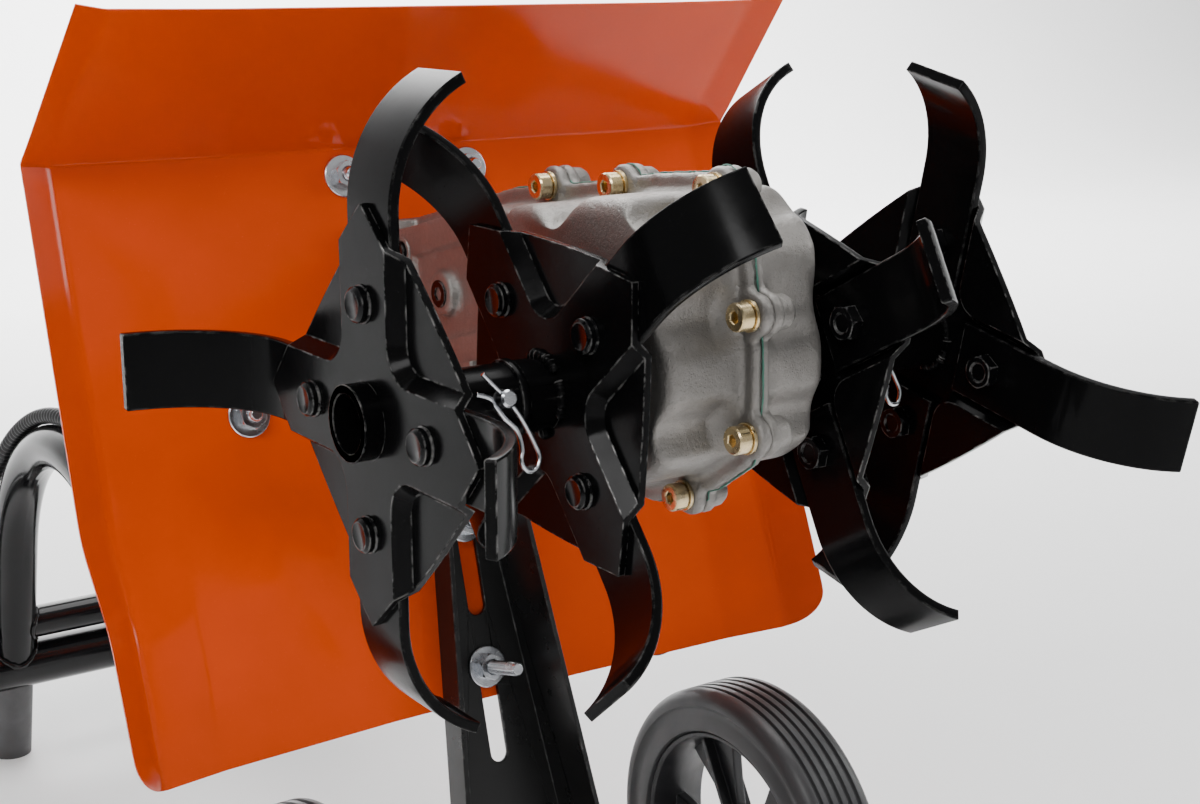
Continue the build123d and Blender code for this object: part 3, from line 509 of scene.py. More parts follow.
# ---------------------------------------------------------------- mudguard
GUARD_Z, GUARD_SHEET, GUARD_FRONT, GUARD_REAR = 229.0, 2.0, -152.0, 168.0
GUARD_WING, GUARD_FOLD, GUARD_HALF, GUARD_CORNER = 165.0, 204.0, 222.0, 22.0
NOSE_REACH, NOSE_FALL, NOSE_NARROW, NOSE_THINS = 57.0, 89.0, 9.0, 0.46
NOSE_LENGTH, GUARD_LENGTH = math.hypot(NOSE_REACH, NOSE_FALL), GUARD_REAR - GUARD_FRONT
WING_SOFT, FOLD_SOFT, FLAT_SOFT, NOSE_SOFT = 5, 2.2, 6, 7.0  # how gently each fold of the sheet turns
# columns: y, half width of the level middle, falls of the wing line, strip fold and edge
GUARD_ROWS = [(-152.0, 136.0, 1.0, 3.0, 13.0), (40.0, 136.0, 1.0, 3.0, 14.0),
              (86.0, 100.0, 5.0, 16.0, 36.0), (168.0, 60.0, 12.0, 24.0, 45.0)]


def guard_row(y):
    """The guard's cross section sizes at a distance along it."""
    y = min(max(y, GUARD_ROWS[0][0]), GUARD_ROWS[-1][0])
    for a, b in zip(GUARD_ROWS, GUARD_ROWS[1:]):
        if y <= b[0]:
            t = (y - a[0]) / (b[0] - a[0])
            return [p + (q - p) * t for p, q in zip(a[1:], b[1:])]
    return list(GUARD_ROWS[-1][1:])


def ramp_up(t, soft):
    """Zero before t = 0 and t after it, with a soft turn between them."""
    return 0.5 * (t + math.sqrt(t * t + soft * soft)) - 0.5 * soft * math.exp(-abs(t) / soft)


def guard_height(x, y):
    """Where the sheet lies against its level middle, averaged along the guard to soften the folds."""
    total = 0.0
    for shift in (-9, -4, 0, 4, 9):
        flat, wing_fall, fold_fall, edge_fall = guard_row(y + shift)
        s1 = wing_fall / (GUARD_WING - flat)
        s2 = (fold_fall - wing_fall) / (GUARD_FOLD - GUARD_WING)
        s3 = (edge_fall - fold_fall) / (GUARD_HALF - GUARD_FOLD)
        x_abs = abs(x)
        fall = s1 * ramp_up(x_abs - flat, FLAT_SOFT) + (s2 - s1) * ramp_up(x_abs - GUARD_WING, WING_SOFT)
        fall += (s3 - s2) * ramp_up(x_abs - GUARD_FOLD, FOLD_SOFT)
        total += 0.2 * fall
    return -total


def guard_ripple(x, y):
    """Small waves and long press marks of a thin sheet, both ways from its plane."""
    wave = 0.30 * math.sin(0.021 * x + 0.017 * y + 0.6) * math.sin(0.013 * y - 0.019 * x + 1.1)
    for mx, my, turn, long, wide, deep in (
        (-92, 62, 0.5, 46, 10, 0.55), (104, 70, -0.55, 44, 10, 0.55), (-150, 20, 0.15, 70, 8, 0.35),
        (150, 15, -0.15, 70, 8, 0.35), (30, 128, 1.2, 30, 5, 0.5), (-34, 126, -1.1, 28, 5, 0.4),
    ):
        dx, dy = x - mx, y - my
        a = dx * math.cos(turn) + dy * math.sin(turn)
        b = -dx * math.sin(turn) + dy * math.cos(turn)
        wave += deep * math.exp(-(a / wide) ** 2 - (b / long) ** 2)
    return wave


def guard_point(x, s, lift):
    """A point of the sheet: s runs from the nose edge (negative) over its fold to the rear."""
    ahead, behind = ramp_up(-s, NOSE_SOFT), ramp_up(s, NOSE_SOFT)
    share = min(1.0, ahead / NOSE_LENGTH)
    y = GUARD_FRONT + behind - ahead * NOSE_REACH / NOSE_LENGTH
    z = GUARD_Z + guard_height(x, max(y, GUARD_FRONT)) - ahead * NOSE_FALL / NOSE_LENGTH
    ripple = guard_ripple(x, y) * (0.25 if s < 0 else 1.0)
    x_here = x * (1 - NOSE_NARROW * share / GUARD_HALF)
    turn = min(1.0, max(0.0, 0.5 - s / (2 * NOSE_SOFT)))
    angle = math.atan2(NOSE_FALL, NOSE_REACH) * turn
    normal = Vector((0, -math.sin(angle), math.cos(angle)))
    return Vector((x_here, y, z)) + normal * ((lift + ripple * 0.5) * (1 - NOSE_THINS * turn))


def guard_edge(s):
    """Half width of the sheet at s, with its two rear corners rounded."""
    from_rear = GUARD_LENGTH - s
    if from_rear >= GUARD_CORNER:
        return GUARD_HALF
    inside = GUARD_CORNER - max(0.0, from_rear)
    return GUARD_HALF - GUARD_CORNER + math.sqrt(max(0.0, GUARD_CORNER ** 2 - inside ** 2))


# rows of the sheet: over the nose, close together round its fold, along the top, round the rear corners
steps_s = [-NOSE_LENGTH + 0.2 + n * (NOSE_LENGTH - 12) / 26 for n in range(27)]
steps_s += [-11.5 + n * 1.5 for n in range(16)]
top_from, top_to = steps_s[-1], GUARD_LENGTH - 24
steps_s += [top_from + n * (top_to - top_from) / 92 for n in range(1, 93)]
steps_s += [GUARD_LENGTH - GUARD_CORNER * (1 - math.sin(n * math.pi / 24)) for n in range(1, 12)]
steps_s += [GUARD_LENGTH - 0.05]
steps_x = [n / 80 - 1 for n in range(161)]
guard = Shape()
sheets = []
for lift in (0.1, GUARD_SHEET - 0.1):
    sheets.append([[guard.mesh.verts.new(guard_point(u * guard_edge(s), s, lift)) for u in steps_x]
                   for s in steps_s])
for sheet_rows in sheets:
    for a, b in zip(sheet_rows, sheet_rows[1:]):
        for n in range(len(steps_x) - 1):
            guard.mesh.faces.new((a[n], a[n + 1], b[n + 1], b[n]))
rim_low, rim_high = (
    rows[0] + [row[-1] for row in rows[1:-1]] + rows[-1][::-1] + [row[0] for row in rows[-2:0:-1]]
    for rows in sheets)
for n in range(len(rim_low)):
    m = (n + 1) % len(rim_low)
    guard.mesh.faces.new((rim_low[n], rim_low[m], rim_high[m], rim_high[n]))
guard.done("guard_sheet", "chassis", "orange_paint", replaces=["mudguard"], sharp=50)

# ---------------------------------------------------------------- wheels
WHEEL_X, AXLE_Y, AXLE_Z = 146.0, 290.4, 201.5
HUB_HALF, AXLE_END, TREAD_RIBS, TREAD_PITCH, SPOKES = 23, 4.0, 5, 6.4, 5
tread = []
for rib in range(TREAD_RIBS):
    middle = (rib - TREAD_RIBS // 2) * TREAD_PITCH
    tread += [(middle - 1.5, 100.0), (middle - 1.0, 98.0), (middle + 1.0, 98.0), (middle + 1.5, 100.0)]
wall = [(19.5, 74.3), (21.6, 75.2), (22.2, 79.0), (20.6, 84.5), (20.4, 88.0), (21.2, 89.6), (22.8, 90.6),
        (23.0, 92.6), (22.4, 95.0), (20.6, 97.6), (18.2, 99.3), (16.2, 99.9)]
tyre_profile = [(-x, r) for x, r in wall] + tread + list(reversed(wall))
for side_name, side in (("right", -1), ("left", 1)):
    at = (side * WHEEL_X, AXLE_Y, AXLE_Z)
    tyre = Shape().turned(tyre_profile + [(0, 74.05)], at, (1, 0, 0), steps=144, closed=True)
    tyre.done(f"tyre_tread_{side_name}", f"wheel_{side_name}", "tyre",
              replaces=[f"tyre_{side_name}"], sharp=40)
    rim = Shape()
    barrel = [(-19.6, 73.8), (-20.0, 72.6), (-19.0, 70.8), (-12.0, 69.2), (-4.0, 67.4),
              (4.0, 67.4), (12.0, 69.2), (19.0, 70.8), (20.0, 72.6), (19.6, 73.8)]
    rim.turned(barrel, at, (1, 0, 0), steps=120, closed=True)
    hub = [(-23.0, 7.0), (-23.0, 14.5), (-22.0, 16.5), (-5.0, 17.0), (-4.0, 24.0), (4.0, 24.0), (5.0, 17.0),
           (22.0, 16.5), (23.0, 14.5), (23.0, 7.0)]
    rim.turned(hub, at, (1, 0, 0), steps=64, closed=True)
    for n in range(SPOKES):
        angle = math.radians(360 / SPOKES * n + 22)
        out = Vector((0, math.cos(angle), math.sin(angle)))
        fan = [(19, -4.5), (40, -11.5), (68.5, -23), (68.5, 23), (40, 11.5), (19, 4.5)]
        for face in (-1, 1):
            rim.slab([(p, q * face) for p, q in fan], Vector(at) - Vector((face * 0.2, 0, 0)),
                     (face, 0, 0), 3.6, along=out, edge=1.0)
            rim.slab([(16, -1.6), (69, -1.6), (69, 1.6), (16, 1.6)],
                     Vector(at) + Vector((face * 3.0, 0, 0)), (face, 0, 0), 7.0, along=out, edge=1.0)
    rim.done(f"rim_spokes_{side_name}", f"wheel_{side_name}", "rim_plastic",
             replaces=[f"rim_{side_name}"], bevel=0.0005)
    caps = Shape()
    caps.turned([(0, 6.4), (0, 8.6), (1.6, 8.6), (3.2, 7.0), (3.6, 3.0), (3.6, 0)],
                (side * (WHEEL_X + HUB_HALF + AXLE_END - 3.8), AXLE_Y, AXLE_Z), (side, 0, 0))
    caps.done(f"axle_cap_{side_name}", "chassis", "zinc")

# ---------------------------------------------------------------- fasteners
# the case screws pass through the right half into blind bosses of the left half
CASE_SEAT = 6.5
SPRING_WASHER = [(0, 3.5), (0, 7.3), (1.7, 7.3), (1.7, 3.5)]
SOCKET_HEAD = [(1.9, 0), (1.9, 6.2), (2.4, 6.5), (8.1, 6.5), (8.9, 5.9), (9.0, 5.2), (9.0, 4.2, 2.9),
               (8.4, 3.8, 2.5), (4.6, 3.8, 2.5), (3.9, 0)]
BLIND_BOSS = [(-1.0, 8.4), (5.2, 7.9), (7.4, 6.6), (8.4, 4.0), (8.6, 0)]
heads = Shape()
blind_ends = Shape()
for y, z in CASE_BOLTS:
    at = (-CASE_SEAT, y, z)
    turn = rng.uniform(0, 1)
    heads.turned(SPRING_WASHER, at, (-1, 0, 0), steps=40, closed=True)
    heads.turned(SOCKET_HEAD, at, (-1, 0, 0), steps=72, ripple=0.006, waves=24, turn=turn)
    blind_ends.turned(BLIND_BOSS, (CASE_SEAT, y, z), (1, 0, 0), steps=40)
heads.done("case_bolt_heads", "chassis", "yellow_zinc", replaces=["gear_case_bolts"], sharp=28)
blind_ends.done("case_blind_ends", "chassis", "cast_alloy", sharp=60)

# each bolt of the deck: x, y, the level its washer seats on and how far its thread shows
BRACKET_Z, DECK_TOP, THREAD_PITCH = 226.0, 236.0, 1.2
DECK_BOLTS = [(-40.0, -136.6, GUARD_Z, 12.0), (40.0, -136.6, GUARD_Z, 12.0), (-118.0, -12.0, GUARD_Z, 12.0),
              (118.0, -12.0, GUARD_Z, 12.0), (0.0, 65.8, BRACKET_Z, 12.0), (0.0, 149.9, BRACKET_Z, 36.0)]
WASHER = [(0.0, 4.1), (0.0, 11.4), (0.5, 12.0), (1.5, 12.0), (2.0, 11.4), (2.0, 4.1)]
NUT = [(2.1, 4.0), (2.1, 7.6, 6.9), (2.8, 8.6, 6.9), (7.4, 8.6, 6.9), (8.2, 7.4, 6.9), (8.3, 4.6), (7.6, 4.0)]
HEX_HEAD = [(0, 0), (0, 8.6, 6.9), (4.4, 8.6, 6.9), (5.3, 7.3, 6.9), (5.4, 0)]
plate_fasteners = Shape()
for x, y, seat, tail in DECK_BOLTS:
    turn = rng.uniform(0, 1)
    plate_fasteners.turned(WASHER, (x, y, seat), (0, 0, -1), steps=64, closed=True)
    plate_fasteners.turned(NUT, (x, y, seat), (0, 0, -1), steps=48, closed=True, turn=turn)
    thread = [(1.0, 0), (1.0, 3.4)]
    along = 1.4
    while along < tail - 1.6:
        thread += [(along, 3.45), (along + 0.6, 3.98)]
        along += THREAD_PITCH
    thread += [(tail - 0.9, 3.6), (tail, 2.9), (tail, 0)]
    plate_fasteners.turned(thread, (x, y, seat), (0, 0, -1), steps=28)
    plate_fasteners.turned(HEX_HEAD, (x, y, DECK_TOP), (0, 0, 1), steps=48, turn=turn)
plate_fasteners.done("plate_fasteners", "chassis", "zinc", replaces=["chassis_bolts"], sharp=28)

# blade bolts: flat round heads with a broad bevel, and nuts with a thread end behind
OUTER_X, INNER_X, BOLT_CIRCLE, BOLT_GRIP = 163.0, 76.0, 49.5, 8.5
# x of each star's outer face and the angle of its first arm in degrees, from right to left
STARS = [(-OUTER_X, -74.4), (-INNER_X, -115.4), (INNER_X, -102.4), (OUTER_X, -62.4)]
BLADE_HEAD = [(0, 0), (0, 8.3), (0.6, 8.3), (0.7, 7.6), (3.6, 7.7), (4.9, 6.5), (5.1, 6.0), (4.7, 5.2),
              (4.8, 0)]
BLADE_NUT = [(0, 0), (0, 8.9, 7.7), (5.0, 8.9, 7.7), (6.0, 7.8, 7.7), (6.0, 4.9), (5.2, 4.6), (5.2, 0)]
blade_heads = Shape()
for x, phase in STARS:
    out = 1 if x > 0 else -1
    for n in range(4):
        angle = math.radians(phase + 90 * n)
        at = Vector((x, BOLT_CIRCLE * math.cos(angle), BOLT_CIRCLE * math.sin(angle)))
        blade_heads.turned(BLADE_HEAD, at, (out, 0, 0), steps=40)
        back = at - Vector((out * BOLT_GRIP, 0, 0))
        blade_heads.turned(BLADE_NUT, back, (-out, 0, 0), steps=48, turn=rng.uniform(0, 1))
blade_heads.done("blade_bolt_heads", "rotor", "bolt_black", replaces=["blade_bolts"], sharp=30)

# ---------------------------------------------------------------- tine tube: pins, clips and welds
PIN = [(-23.5, 0), (-23.5, 3.1), (-22.6, 4.0), (17.0, 4.0), (17.0, 6.5), (19.6, 6.5), (20.5, 5.6), (20.5, 0)]
# the wire of each R-clip, across its pin: a short one by the gear case and a long one between the stars
SHORT_CLIP = [(-2.5, -9.5), (-0.8, -3.0), (0.2, 1.0), (2.4, 7.5), (3.6, 11.0), (2.4, 14.0), (-0.6, 13.6),
              (-1.8, 11.0), (-3.6, 7.0), (-5.6, 2.5), (-5.9, -1.5), (-4.4, -5.5)]
LONG_CLIP = [(-10.0, -12.0), (-5.0, -6.0), (0.0, 0.0), (5.5, 9.0), (10.0, 20.0), (11.6, 26.5), (9.0, 31.5),
             (4.6, 31.6), (2.4, 27.5), (3.6, 22.0), (2.4, 14.0), (-2.6, 8.0), (-6.2, 2.4), (-8.4, -1.4),
             (-14.5, -3.8)]
CLIP_LEVEL, CLIP_WIRE = -20.6, 1.05
pins = Shape()
clips = Shape()
for side in (-1, 1):
    for pin_x, wire in ((64.0, SHORT_CLIP), (106.0, LONG_CLIP)):
        x = side * pin_x
        pins.turned(PIN, (x, 0, 0), (0, 0, 1), steps=36)
        clips.tube(smooth_path([(x + p, q, CLIP_LEVEL) for p, q in wire]), CLIP_WIRE, steps=10)
pins.done("pin_bodies", "rotor", "zinc", replaces=["tine_pins"], sharp=30)
clips.done("r_clips", "rotor", "zinc")

# beads on both faces of the inner stars, and on the back of the outer ones
WELD_R, WELD_STEPS = 17.2, 22
welds = Shape()
for x, phase in STARS:
    out = 1 if x > 0 else -1
    both_faces = ((x + out * 0.4, 2.6), (x - out * 3.9, 2.2))
    for face, size in both_faces if abs(x) == INNER_X else both_faces[1:]:
        for quarter in range(4):
            start = math.radians(phase + 90 * quarter + 12 + rng.uniform(-6, 6))
            span = math.radians(rng.uniform(56, 78))
            turns = [start + span * t / WELD_STEPS for t in range(WELD_STEPS + 1)]
            welds.bead([Vector((face, WELD_R * math.cos(a), WELD_R * math.sin(a))) for a in turns], size)
welds.done("tube_welds", "rotor", "tine_black", sharp=60)

# the ends and the collars of the tine tubes
TUBE_END_X, TUBE_JOIN_X = 170.8, 92.0
END_RING = [(0, 12.9), (0, 16.2), (0.5, 16.6), (1.2, 16.6), (1.2, 12.9)]
COLLAR = [(0, 16.4), (0, 17.6), (0.8, 18.0), (3.2, 18.0), (4.0, 17.6), (4.0, 16.4)]
ends = Shape()
for side in (-1, 1):
    ends.turned(END_RING, (side * TUBE_END_X, 0, 0), (side, 0, 0), closed=True, steps=56)
    ends.turned(COLLAR, (side * TUBE_JOIN_X, 0, 0), (side, 0, 0), closed=True, steps=56)
ends.done("tube_ends", "rotor", "tine_black")

# ---------------------------------------------------------------- gear case trim
# x, y, z of the plugs of one half, which the other half mirrors
SIDE_PLUG, TOP_PLUG, LOW_PLUG = (32.0, -60.0, 156.0), (29.0, -88.0, 194.0), (46.0, -52.0, 24.0)


def mirrored(side, at):
    """A place on the right (-1) or left (1) half."""
    return (side * at[0], at[1], at[2])


SIDE_PLUG_LEVELS = [(-0.5, 0), (-0.5, 7.4), (0.5, 7.4), (0.9, 7.0), (0.9, 4.4), (0.9, 3.4, 3.0),
                    (-0.4, 3.4, 3.0), (-0.4, 0)]
TOP_PLUG_LEVELS = [(-0.5, 0), (-0.5, 5.2), (2.6, 5.2), (3.0, 4.6), (3.0, 2.6, 2.0), (1.2, 2.6, 2.0), (1.2, 0)]
LOW_PLUG_LEVELS = [(-2.0, 0), (-2.0, 6.4), (1.4, 6.4), (2.0, 5.8), (2.0, 3.6, 2.5), (0.2, 3.6, 2.5), (0.2, 0)]
case_trim = Shape()
for side in (-1, 1):
    case_trim.turned(SIDE_PLUG_LEVELS, mirrored(side, SIDE_PLUG), (side, 0, 0), steps=48)
    case_trim.turned(TOP_PLUG_LEVELS, mirrored(side, TOP_PLUG), (side, 0, 0), steps=48)
    case_trim.turned(LOW_PLUG_LEVELS, mirrored(side, LOW_PLUG), (side, 0, 0), steps=48)
case_trim.done("case_plugs", "chassis", "bolt_black", sharp=28)
bosses = Shape()
for side in (-1, 1):
    bosses.turned([(-3, 12.5), (0.2, 11.6), (1.0, 10.6), (1.0, 6.9), (-3, 6.9)], mirrored(side, LOW_PLUG),
                  (side, 0, 0), steps=56, closed=True)
    bosses.turned([(-2, 8.6), (0.4, 8.0), (1.0, 7.3), (1.0, 5.6), (-2, 5.6)], mirrored(side, TOP_PLUG),
                  (side, 0, 0), steps=48, closed=True)
    for y in (-20.0, 12.0):
        bosses.slab(rectangle(4.0, 68), (side * 28.0, y, 168.0), (side, 0, 0), 4.2,
                    along=(0, 1, 0), edge=1.2)
    bosses.slab(rectangle(26, 13), (side * 28.4, -8.0, 118.0), (side, 0, 0), 2.6, along=(0, 1, 0), edge=1.0)
bosses.done("case_bosses", "chassis", "cast_alloy", bevel=0.0008)
seals = Shape()
for side in (-1, 1):
    seals.turned([(-1.0, 18.2), (-1.0, 26.0), (0.3, 26.0), (0.8, 25.0), (0.5, 21.0), (0.8, 18.2)],
                 (side * 53.0, 0, 0), (side, 0, 0), steps=64, closed=True)
seals.done("shaft_seals", "chassis", "grip_rubber")

# the split line in the middle plane, and how far a bolt's boss pushes it out
CASE_OUTLINE = [(-109.0, 229.0), (-107.0, 112.0), (-98.0, 46.0), (-92.0, -12.0), (-84.0, -60.0),
                (-48.0, -70.0), (-4.0, -65.0), (17.0, -60.0), (46.0, -47.0), (56.0, -18.0), (60.0, 30.0),
                (46.0, 72.0), (34.0, 108.0), (34.0, 229.0)]


BOSS_REACH = 10.0


def seam_point(p):
    """Moves a point of the split line out to a bolt's boss where it crosses one."""
    for y, z in CASE_BOLTS:
        gap = math.hypot(p.y - y, p.z - z)
        if 0.5 < gap < BOSS_REACH:
            return Vector((0, y + (p.y - y) * BOSS_REACH / gap, z + (p.z - z) * BOSS_REACH / gap))
    return p


SEAM_CORNER, SEAM_R = 7.0, 0.42
corners = [SEAM_CORNER] * (len(CASE_OUTLINE) - 2)
seam = [seam_point(p) for p in rounded([(0, y, z) for y, z in CASE_OUTLINE], corners, step=1.6)]
line = Shape()
line.tube([p + Vector((rng.uniform(-0.12, 0.12), 0, 0)) for p in seam],
          [SEAM_R * rng.uniform(0.6, 1.4) for _ in seam], steps=6)
line.done("sealant", "chassis", None, finish=paint("sealant", (0.07, 0.23, 0.17), 0.45), sharp=60)

# ---------------------------------------------------------------- handlebar
column_x, column_r, bar_r = 117.0, 16.0, 18.5
pivot, bend, junction = Vector((0, 150, 282)), Vector((0, -72, 635)), Vector((0, 149.0, 773.0))
lean, reach = (bend - pivot).normalized(), (junction - bend).normalized()
side_out, reach_out = Vector((0, -lean.z, lean.y)), Vector((0, -reach.z, reach.y))
rise = Vector((0, -0.2, 0.307))
bar_half, horn_bend_r, lever_clamp, lever_gap = 290.0, 60.0, 18.0, 3.0
grip_r, conduit_r, running_fit = 22.0, 6.0, 0.05
horn_from = column_x + column_r + horn_bend_r / 4
horn_slant = math.sqrt(1 + rise.length ** 2)
grip_length = (bar_half - horn_from) * horn_slant - horn_bend_r * rise.length / (1 + horn_slant)
grip_length -= lever_clamp + 2 * lever_gap
rib_pitch = 4.6


def grip_end(side):
    """The end of the bar on one side, and the way from it to the middle."""
    tip = junction + Vector((side * bar_half, 0, 0)) + rise * (bar_half - horn_from)
    return tip, -(Vector((side, 0, 0)) + rise).normalized()


def across(inward):
    """The way across the bar that its lever points."""
    upright = Vector((0, 0, 1)) - inward * inward.z
    return inward.cross(upright.normalized())


grips = Shape()
trims = Shape()
lever_bolts = Shape()
for side in (-1, 1):
    tip, inward = grip_end(side)
    levels = [(0.2, 18.7), (0.2, 21.2), (0.9, 21.9), (3.6, 21.9), (4.4, 20.8)]
    along = 6.0
    while along < grip_length - 8:
        levels += [(along, 20.4), (along + 0.7, 21.5), (along + 2.6, 21.5), (along + 3.3, 20.4)]
        along += rib_pitch
    levels += [(grip_length - 4.5, 20.8), (grip_length - 3.6, 21.9), (grip_length - 0.8, 21.9),
               (grip_length, 21.2), (grip_length, 18.7)]
    grips.turned(levels, tip, inward, steps=64, closed=True)
    trims.turned([(0.4, 0), (0.4, 16.2), (1.6, 16.4), (6.0, 16.4), (6.0, 0)], tip, inward, steps=48)
    seat = tip + inward * (grip_length + 12.0)
    lever_bolts.turned([(0, 0), (0, 6.0, 5.0), (3.6, 6.0, 5.0), (4.2, 5.0, 5.0), (4.2, 0)],
                       seat + across(inward) * 21.0, across(inward), steps=48)
grips.done("grip_ribs", "handlebar", "grip_rubber", replaces=["grips"], sharp=40)
trims.done("bar_plugs", "handlebar", "rim_plastic")
lever_bolts.done("lever_bolts", "handlebar", "zinc")

bar_welds = Shape()
for side in (-1, 1):
    at = junction + Vector((side * column_x, 0, 0))
    ring = []
    for n in range(49):
        a = 2 * math.pi * n / 48
        across_r, out_r = (column_r + 0.6) * math.sin(a), (column_r + 0.6) * math.cos(a)
        deep = math.sqrt(max(1.0, (bar_r + 0.8) ** 2 - across_r ** 2))
        ring.append(at - reach * deep + reach_out * across_r + Vector((out_r, 0, 0)))
    bar_welds.bead(ring, 2.0)
brace_at, brace_r = junction - reach * 38.0, 13.1
for side in (-1, 1):
    at = brace_at + Vector((side * column_x, 0, 0))
    ring = []
    for n in range(41):
        a = 2 * math.pi * n / 40
        h, k = brace_r * math.sin(a), brace_r * math.cos(a)
        deep = math.sqrt(max(1.0, (column_r + 0.6) ** 2 - h ** 2))
        ring.append(at - Vector((side * deep, 0, 0)) + reach_out * h + reach * k)
    bar_welds.bead(ring, 1.8)
bar_welds.done("bar_welds", "handlebar", "tube_black", sharp=60)

# the conduit runs along the right column, round the bend and out to the lever on the right grip
pivot_x, conduit_off, conduit_pitch, path_step = 150.0, 24.0, 5.1, 0.85
slant_low = Vector((-pivot_x, pivot.y, pivot.z)) + lean * 60.0
slant_high = Vector((-column_x, slant_low.y, slant_low.z)) + lean * 150.0
slant = slant_high - slant_low
tip, inward = grip_end(-1)
beside_lever = grip_length + lever_gap + lever_clamp + conduit_r + running_fit
lever_root = tip + inward * beside_lever + across(inward) * (grip_r + conduit_r)
past_bend = conduit_off / (1 + side_out.dot(reach_out))
route = rounded([
    slant_low + slant * 0.15 + side_out * conduit_off, slant_high + side_out * conduit_off,
    Vector((-column_x, bend.y, bend.z)) + (side_out + reach_out) * past_bend,
    lever_root], [90.0, 174.0], step=path_step)
conduit = Shape()
conduit.tube(route, [5.35 + 0.6 * math.sin(n * path_step * 2 * math.pi / conduit_pitch)
                     for n in range(len(route))], steps=20)
conduit.done("conduit_ribs", "handlebar", "cover_black", replaces=["cable_conduit"], sharp=60)

KNOB = [(0, 0), (0, 9.5), (3.0, 9.5), (3.6, 14.0), (5.0, 16.2), (11.4, 16.2), (13.4, 14.6), (13.8, 10.0),
        (13.4, 0)]
knobs = Shape()
for side in (-1, 1):
    seat = side * (pivot_x + column_r + 0.3)
    knobs.turned(KNOB, (seat, pivot.y, pivot.z), (side, 0, 0), steps=96, ripple=0.045, waves=7)
knobs.done("pivot_knobs", "chassis", "rim_plastic", sharp=50)
pivots = Shape()
for side in (-1, 1):
    inner = side * (pivot_x - column_r - 0.3 - 5.0)
    pivots.turned([(-6.0, 0), (-6.0, 8.4, 8.0), (-5.2, 9.3, 8.0), (-0.1, 9.3, 8.0), (0, 5.0), (38.0, 5.0),
                   (38.0, 0)], (inner, pivot.y, pivot.z), (side, 0, 0), steps=48)
pivots.done("pivot_studs", "chassis", "zinc", replaces=["pivot_bolts"], sharp=28)

# ---------------------------------------------------------------- engine
BLOWER_Y, CRANK_TOP, BLOWER_R, BLOWER_DEEP, RECOIL_DEEP = 5.0, 345.0, 100.0, 52.0, 34.0
VANES = 26
fan = Vector((0, BLOWER_Y, CRANK_TOP + BLOWER_DEEP + RECOIL_DEEP))
recoil = Shape()
for n in range(VANES):
    a = 2 * math.pi * n / VANES
    out = Vector((math.cos(a), math.sin(a), 0))
    recoil.slab([(30, -1.7), (62, -2.9), (62, 2.9), (30, 1.7)], fan - Vector((0, 0, 0.6)), (0, 0, 1), 2.6,
                along=out, edge=0.6)
recoil.turned([(-0.5, 0), (-0.5, 26.5), (2.6, 26.0), (4.6, 22.0), (5.4, 12.0), (5.4, 0)], fan, (0, 0, 1),
              steps=64)
recoil.turned([(-1.0, 62.0), (-1.0, 66.4), (1.6, 66.0), (2.2, 64.8), (1.6, 62.0)], fan, (0, 0, 1), steps=96,
              closed=True)
# the starter handle lies against the cover, with its guide under it
PULL_HANDLE = [(-31, 0), (-31, 5.6), (-29, 8.2), (-16, 7.4), (0, 8.8), (16, 7.4), (29, 8.2),
               (31, 5.6), (31, 0)]
CORD_GUIDE = [(-26, 0), (-26, 8.5), (-14, 7.0), (-8, 5.0), (-8, 0)]
handle_at = Vector((-70.0, 62.0, 410.0))
recoil.turned(PULL_HANDLE, handle_at, (0.6, 0.8, 0), steps=36)
recoil.turned(CORD_GUIDE, handle_at, (-0.8, 0.6, 0), steps=32)
recoil.done("recoil_vanes", "chassis", "cover_black", bevel=0.0004)

CAP_AT = (41.0, 115.0, 340.0)
CAP = [(0, 0), (0, 11.2), (1.6, 13.0), (10.4, 13.0), (11.6, 12.0), (12.0, 10.6), (11.4, 8.0), (11.4, 0)]
cap = Shape()
cap.turned(CAP, CAP_AT, (0, 0, 1), steps=120, ripple=0.035, waves=20)
cap.done("fuel_cap_ribs", "chassis", "cover_black", replaces=["fuel_cap"], sharp=40)

# hexagon screws with washers, in four sizes
BLOWER_SCREW = [(-1.0, 0), (-1.0, 7.2), (1.0, 7.2), (1.2, 5.6, 4.9), (5.0, 5.6, 4.9), (5.6, 4.9, 4.9),
                (5.6, 0)]
COVER_SCREW = [(-1.0, 0), (-1.0, 5.8), (0.8, 5.8), (1.0, 4.8, 4.0), (4.0, 4.8, 4.0), (4.0, 0)]
BASE_SCREW = [(-0.5, 0), (-0.5, 5.2), (0.8, 5.2), (0.9, 4.9, 4.2), (5.0, 4.9, 4.2), (5.5, 4.2, 4.2), (5.5, 0)]
MUFFLER_SCREW = [(-0.5, 0), (-0.5, 5.6), (0.9, 5.6), (1.0, 4.9, 4.2), (4.6, 4.9, 4.2), (5.0, 4.4, 4.2),
                 (5.0, 0)]
MUFFLER_FACE, CLEANER_FACE = -126.0, 130.0
screws = Shape()
for n in range(6):
    a = math.radians(60 * n + 22)
    out = Vector((math.cos(a), math.sin(a), 0))
    screws.turned(BLOWER_SCREW, Vector((0, BLOWER_Y, CRANK_TOP + 13.0)) + out * BLOWER_R, out, steps=48)
for n in range(3):
    a = math.radians(120 * n + 40)
    out = Vector((math.cos(a), math.sin(a), 0))
    at = Vector((0, BLOWER_Y, CRANK_TOP + BLOWER_DEEP)) + out * 87.0
    screws.turned(COVER_SCREW, at, (0, 0, 1), steps=48)
for x in (-79.0, 79.0):
    for y in (-46.0, 34.0):
        screws.turned(BASE_SCREW, (x, y, 250.0), (0, 0, 1), steps=48)
for y, z in ((-40, 280), (8, 280), (-40, 320), (8, 320)):
    screws.turned(MUFFLER_SCREW, (MUFFLER_FACE, y, z), (-1, 0, 0), steps=48)
screws.done("engine_bolts", "chassis", "zinc", sharp=28)

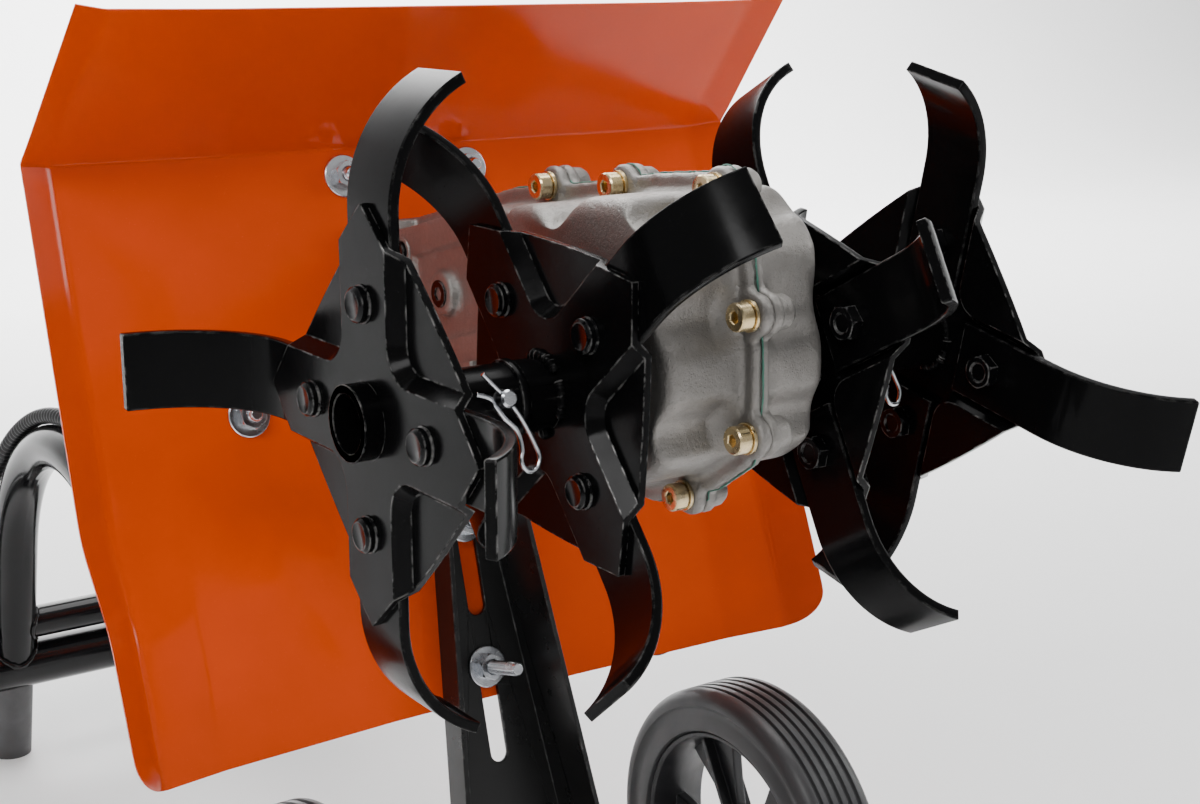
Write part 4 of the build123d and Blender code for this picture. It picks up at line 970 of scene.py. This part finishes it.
SPARK_HEX = [(0, 0), (0, 12.0, 10.4), (7.0, 12.0, 10.4), (8.0, 10.4, 10.4), (8.0, 6.4), (12.0, 6.0),
             (12.0, 0)]
SPARK_BOOT = [(11.0, 0), (11.0, 8.0), (14.0, 9.0), (28.0, 8.4), (31.0, 7.0), (31.0, 0)]
SPARK_LEAD = [(0, -162, 303), (0, -166, 322), (8, -158, 344), (24, -132, 362), (40, -104, 370),
              (50, -84, 371)]
FUEL_LINE = [(60, 84, 300), (86, 92, 296), (92, 60, 288), (88, 30, 284), (84, 10, 280)]
LEAD_R, FUEL_LINE_R = 3.6, 3.2
plug_at = Vector((0, -138.0, 299.0))
spark = Shape()
spark.turned(SPARK_HEX, plug_at, (0, -1, 0), steps=48)
spark.done("spark_plug", "chassis", "zinc", sharp=28)
lead = Shape()
lead.turned(SPARK_BOOT, plug_at, (0, -1, 0), steps=36)
lead.tube(smooth_path(SPARK_LEAD), LEAD_R, steps=14)
lead.tube(smooth_path(FUEL_LINE), FUEL_LINE_R, steps=12)
lead.done("plug_lead", "chassis", "grip_rubber", sharp=50)

TAILPIPE = [(-6, 0), (-6, 9.0), (14, 9.0), (14, 7.6), (4, 7.0), (4, 0)]
box = Shape()
for n in range(7):
    at = (MUFFLER_FACE + 0.6, -16.0, 275.0 + n * 8.4)
    box.slab(rectangle(52, 3.2), at, (-1, 0, 0), 2.2, along=(0, 1, 0), edge=0.6)
box.turned(TAILPIPE, (-102.0, -53.0, 306.0), (0, -1, 0), steps=40)
box.done("muffler_trim", "chassis", "muffler_steel", bevel=0.0004)

CLEANER_KNOB = [(0, 0), (0, 9.0), (8.0, 9.0), (9.6, 7.4), (9.6, 0)]
CARB_KNOB = [(-3, 0), (-3, 7.0), (6, 7.0), (9, 10.5), (15, 10.5), (17, 9.0), (17, 0)]
lid = Shape()
for n in range(5):
    at = (CLEANER_FACE - 0.5, -6.0, 282.0 + n * 10.0)
    lid.slab(rectangle(58, 2.6), at, (1, 0, 0), 2.2, along=(0, 1, 0), edge=0.6)
lid.turned(CLEANER_KNOB, (CLEANER_FACE, -6.0, 302.0), (1, 0, 0), steps=70, ripple=0.05, waves=6)
lid.slab(rectangle(87.2, 71.2), (96.0, -6.0, 302.0), (1, 0, 0), 2.4, along=(0, 1, 0))
lid.turned(CARB_KNOB, (-46.0, -66.0, 318.0), (0, -0.8, 0.6), steps=60, ripple=0.03, waves=12)
lid.done("cleaner_trim", "chassis", "cover_black", bevel=0.0004)

# ---------------------------------------------------------------- floor
# a pale sweep: a floor that turns up into a wall behind the machine
FLOOR_HALF, FLOOR_TO, COVE_R, COVE_STEPS, WALL_TOP = 9.0, 2.4, 1.2, 12, 6.0
sweep = [(-FLOOR_HALF, 0.0), (FLOOR_TO, 0.0)]
for t in range(1, COVE_STEPS + 1):
    a = t * math.pi / (2 * COVE_STEPS)
    sweep.append((FLOOR_TO + COVE_R * math.sin(a), COVE_R - COVE_R * math.cos(a)))
sweep.append((FLOOR_TO + COVE_R, WALL_TOP))
floor_mesh = bpy.data.meshes.new("floor")
floor_mesh.from_pydata([(x, y, z) for y, z in sweep for x in (-FLOOR_HALF, FLOOR_HALF)], [],
                       [(2 * n, 2 * n + 1, 2 * n + 3, 2 * n + 2) for n in range(len(sweep) - 1)])
floor_mesh.shade_smooth()
floor = link("floor", floor_mesh)
floor_finish = Finish("floor")
floor_finish.to("Base Color", floor_finish.ramp(floor_finish.noise(3, 2), (0.3, 0.93), (0.7, 0.95)))
floor_finish.set(Roughness=0.9)
floor_mesh.materials.append(floor_finish.material)
